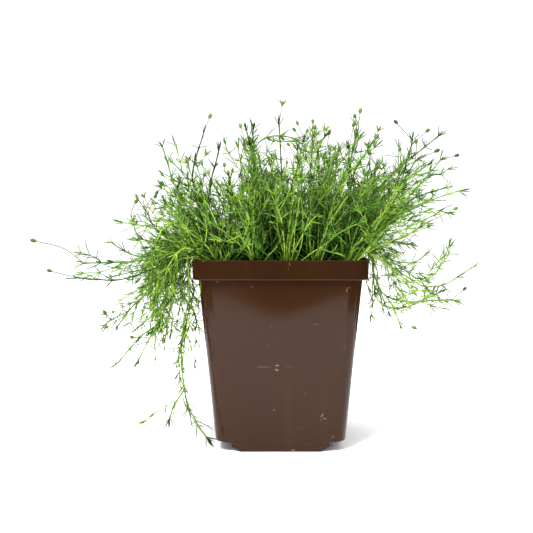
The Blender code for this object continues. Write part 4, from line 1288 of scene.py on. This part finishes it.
def paint(thing, material):
    thing.data.materials.clear()
    thing.data.materials.append(material)


def make_crumbs(material):
    """Lumps of compost scattered over the soil."""
    draw = np.random.default_rng(FINE_SEED + 1)
    shape = bmesh.new()
    bmesh.ops.create_icosphere(shape, subdivisions=1, radius=1)
    base = np.array([vertex.co for vertex in shape.verts])
    faces = np.array([[vertex.index for vertex in face.verts] for face in shape.faces])
    shape.free()
    parts = []
    half = RIM_HALF_LOW - WALL - 3
    for _ in range(CRUMBS):
        x, y = draw.uniform(-half, half, 2)
        away = math.hypot(x, y) / RIM_HALF
        size = draw.uniform(*CRUMB_SIZE) * np.array((1, draw.uniform(0.6, 1), draw.uniform(0.4, 0.8)))
        turn = draw.uniform(0, math.tau)
        lump = base * draw.uniform(0.75, 1.15, (len(base), 1)) * size
        cosine, sine = math.cos(turn), math.sin(turn)
        spin = np.array(((cosine, -sine, 0), (sine, cosine, 0), (0, 0, 1)))
        z = GROUND + GROUND_MOUND * max(0, 1 - away) + draw.uniform(-0.4, 0.9)
        parts.append((lump @ spin.T + np.array((x, y, z)), np.zeros((len(base), 2)), [faces]))
    piece = mesh_from("compost_crumbs", parts)
    piece.data.uv_layers.remove(piece.data.uv_layers["OFBake"])
    paint(piece, material)
    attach(piece, "root")


def stage_object(name, corners, faces, material, **values):
    """A mesh object in metres, with a plain material."""
    mesh = bpy.data.meshes.new(name)
    mesh.from_pydata(corners, [], faces)
    nodes = Nodes(material)
    nodes.fill(nodes.shader, **values)
    mesh.materials.append(nodes.material)
    return add_object(name, mesh)


def make_stage():
    half = FLOOR_HALF
    corners = [(-half, -half, 0), (half, -half, 0), (half, half, 0), (-half, half, 0)]
    floor = stage_object("floor", corners, [(0, 1, 2, 3)], "studio_paper", Base_Color=(0.93, 0.93, 0.93, 1),
                         Roughness=0.9, Specular_IOR_Level=0.1)
    world = bpy.data.worlds.new("studio")
    bpy.context.scene.world = world
    world.use_nodes = True
    colour, strength = world.node_tree.nodes["Background"].inputs[:2]
    colour.default_value = (1, 1, 1, 1)
    strength.default_value = SKY
    add_flag()


def add_flag():
    """A black ring on the floor and up round it that only reflections see, to deepen the glossy plastic."""
    turns = np.arange(FLAG_STEPS) * 2 * math.pi / FLAG_STEPS
    aside = np.abs((turns + math.pi / 4) % (math.pi / 2) - math.pi / 4)
    bow = np.sin(math.pi * np.minimum(aside / FLAG_BOW_END, 1)) ** 3
    near = FLAG_NEAR + FLAG_BOW * bow - FLAG_WAVE * np.sin(turns * FLAG_WAVES)
    far = np.full(FLAG_STEPS, FLAG_FAR)
    corners = []
    for away, height in ((near, FLAG_LOW), (far, FLAG_LOW), (far, FLAG_HIGH)):
        corners += [(reach * math.cos(turn), reach * math.sin(turn), height)
                    for reach, turn in zip(away, turns)]
    flag = stage_object("flag", corners, ring_faces(3, FLAG_STEPS)[0].tolist(), "flag",
                        Base_Color=(0.01, 0.01, 0.01, 1), Roughness=1)
    for kind in ("camera", "diffuse", "transmission", "shadow", "volume_scatter"):
        setattr(flag, "visible_" + kind, False)


def add_light(name, place, size, power):
    light = bpy.data.lights.new(name, "AREA")
    light.size = size
    light.energy = power
    thing = add_object(name, light)
    thing.location = place
    thing.rotation_euler = (Vector(LIGHT_AIM) - Vector(place)).to_track_quat("-Z", "Y").to_euler()


def make_camera():
    camera = bpy.data.cameras.new("camera")
    camera.lens = SENSOR * FOCAL / PHOTO_SIZE
    camera.shift_x = -(CENTRE_X - PHOTO_SIZE / 2) / PHOTO_SIZE
    camera.shift_y = -(PHOTO_SIZE / 2 - CENTRE_Y) / PHOTO_SIZE
    camera.clip_start = 0.01
    thing = add_object("camera", camera)
    thing.location = (0, -CAMERA_AWAY * MM, CAMERA_HEIGHT)
    thing.rotation_euler = (math.radians(90), 0, 0)
    bpy.context.scene.camera = thing


make_camera()
make_stage()
for light in LIGHTS:
    add_light(*light)
bpy.context.scene.view_settings.view_transform = "Standard"

part_draw = random.Random(SEED)
crowns = crown_places(part_draw)
stems = grow_stems(crowns, part_draw)
moss = moss_material()
for piece in grow_fine_moss(crowns, stems):
    paint(piece, moss)
compost = compost_material()
paint(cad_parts["soil"], compost)
make_crumbs(compost)
make_pot(pot_material())
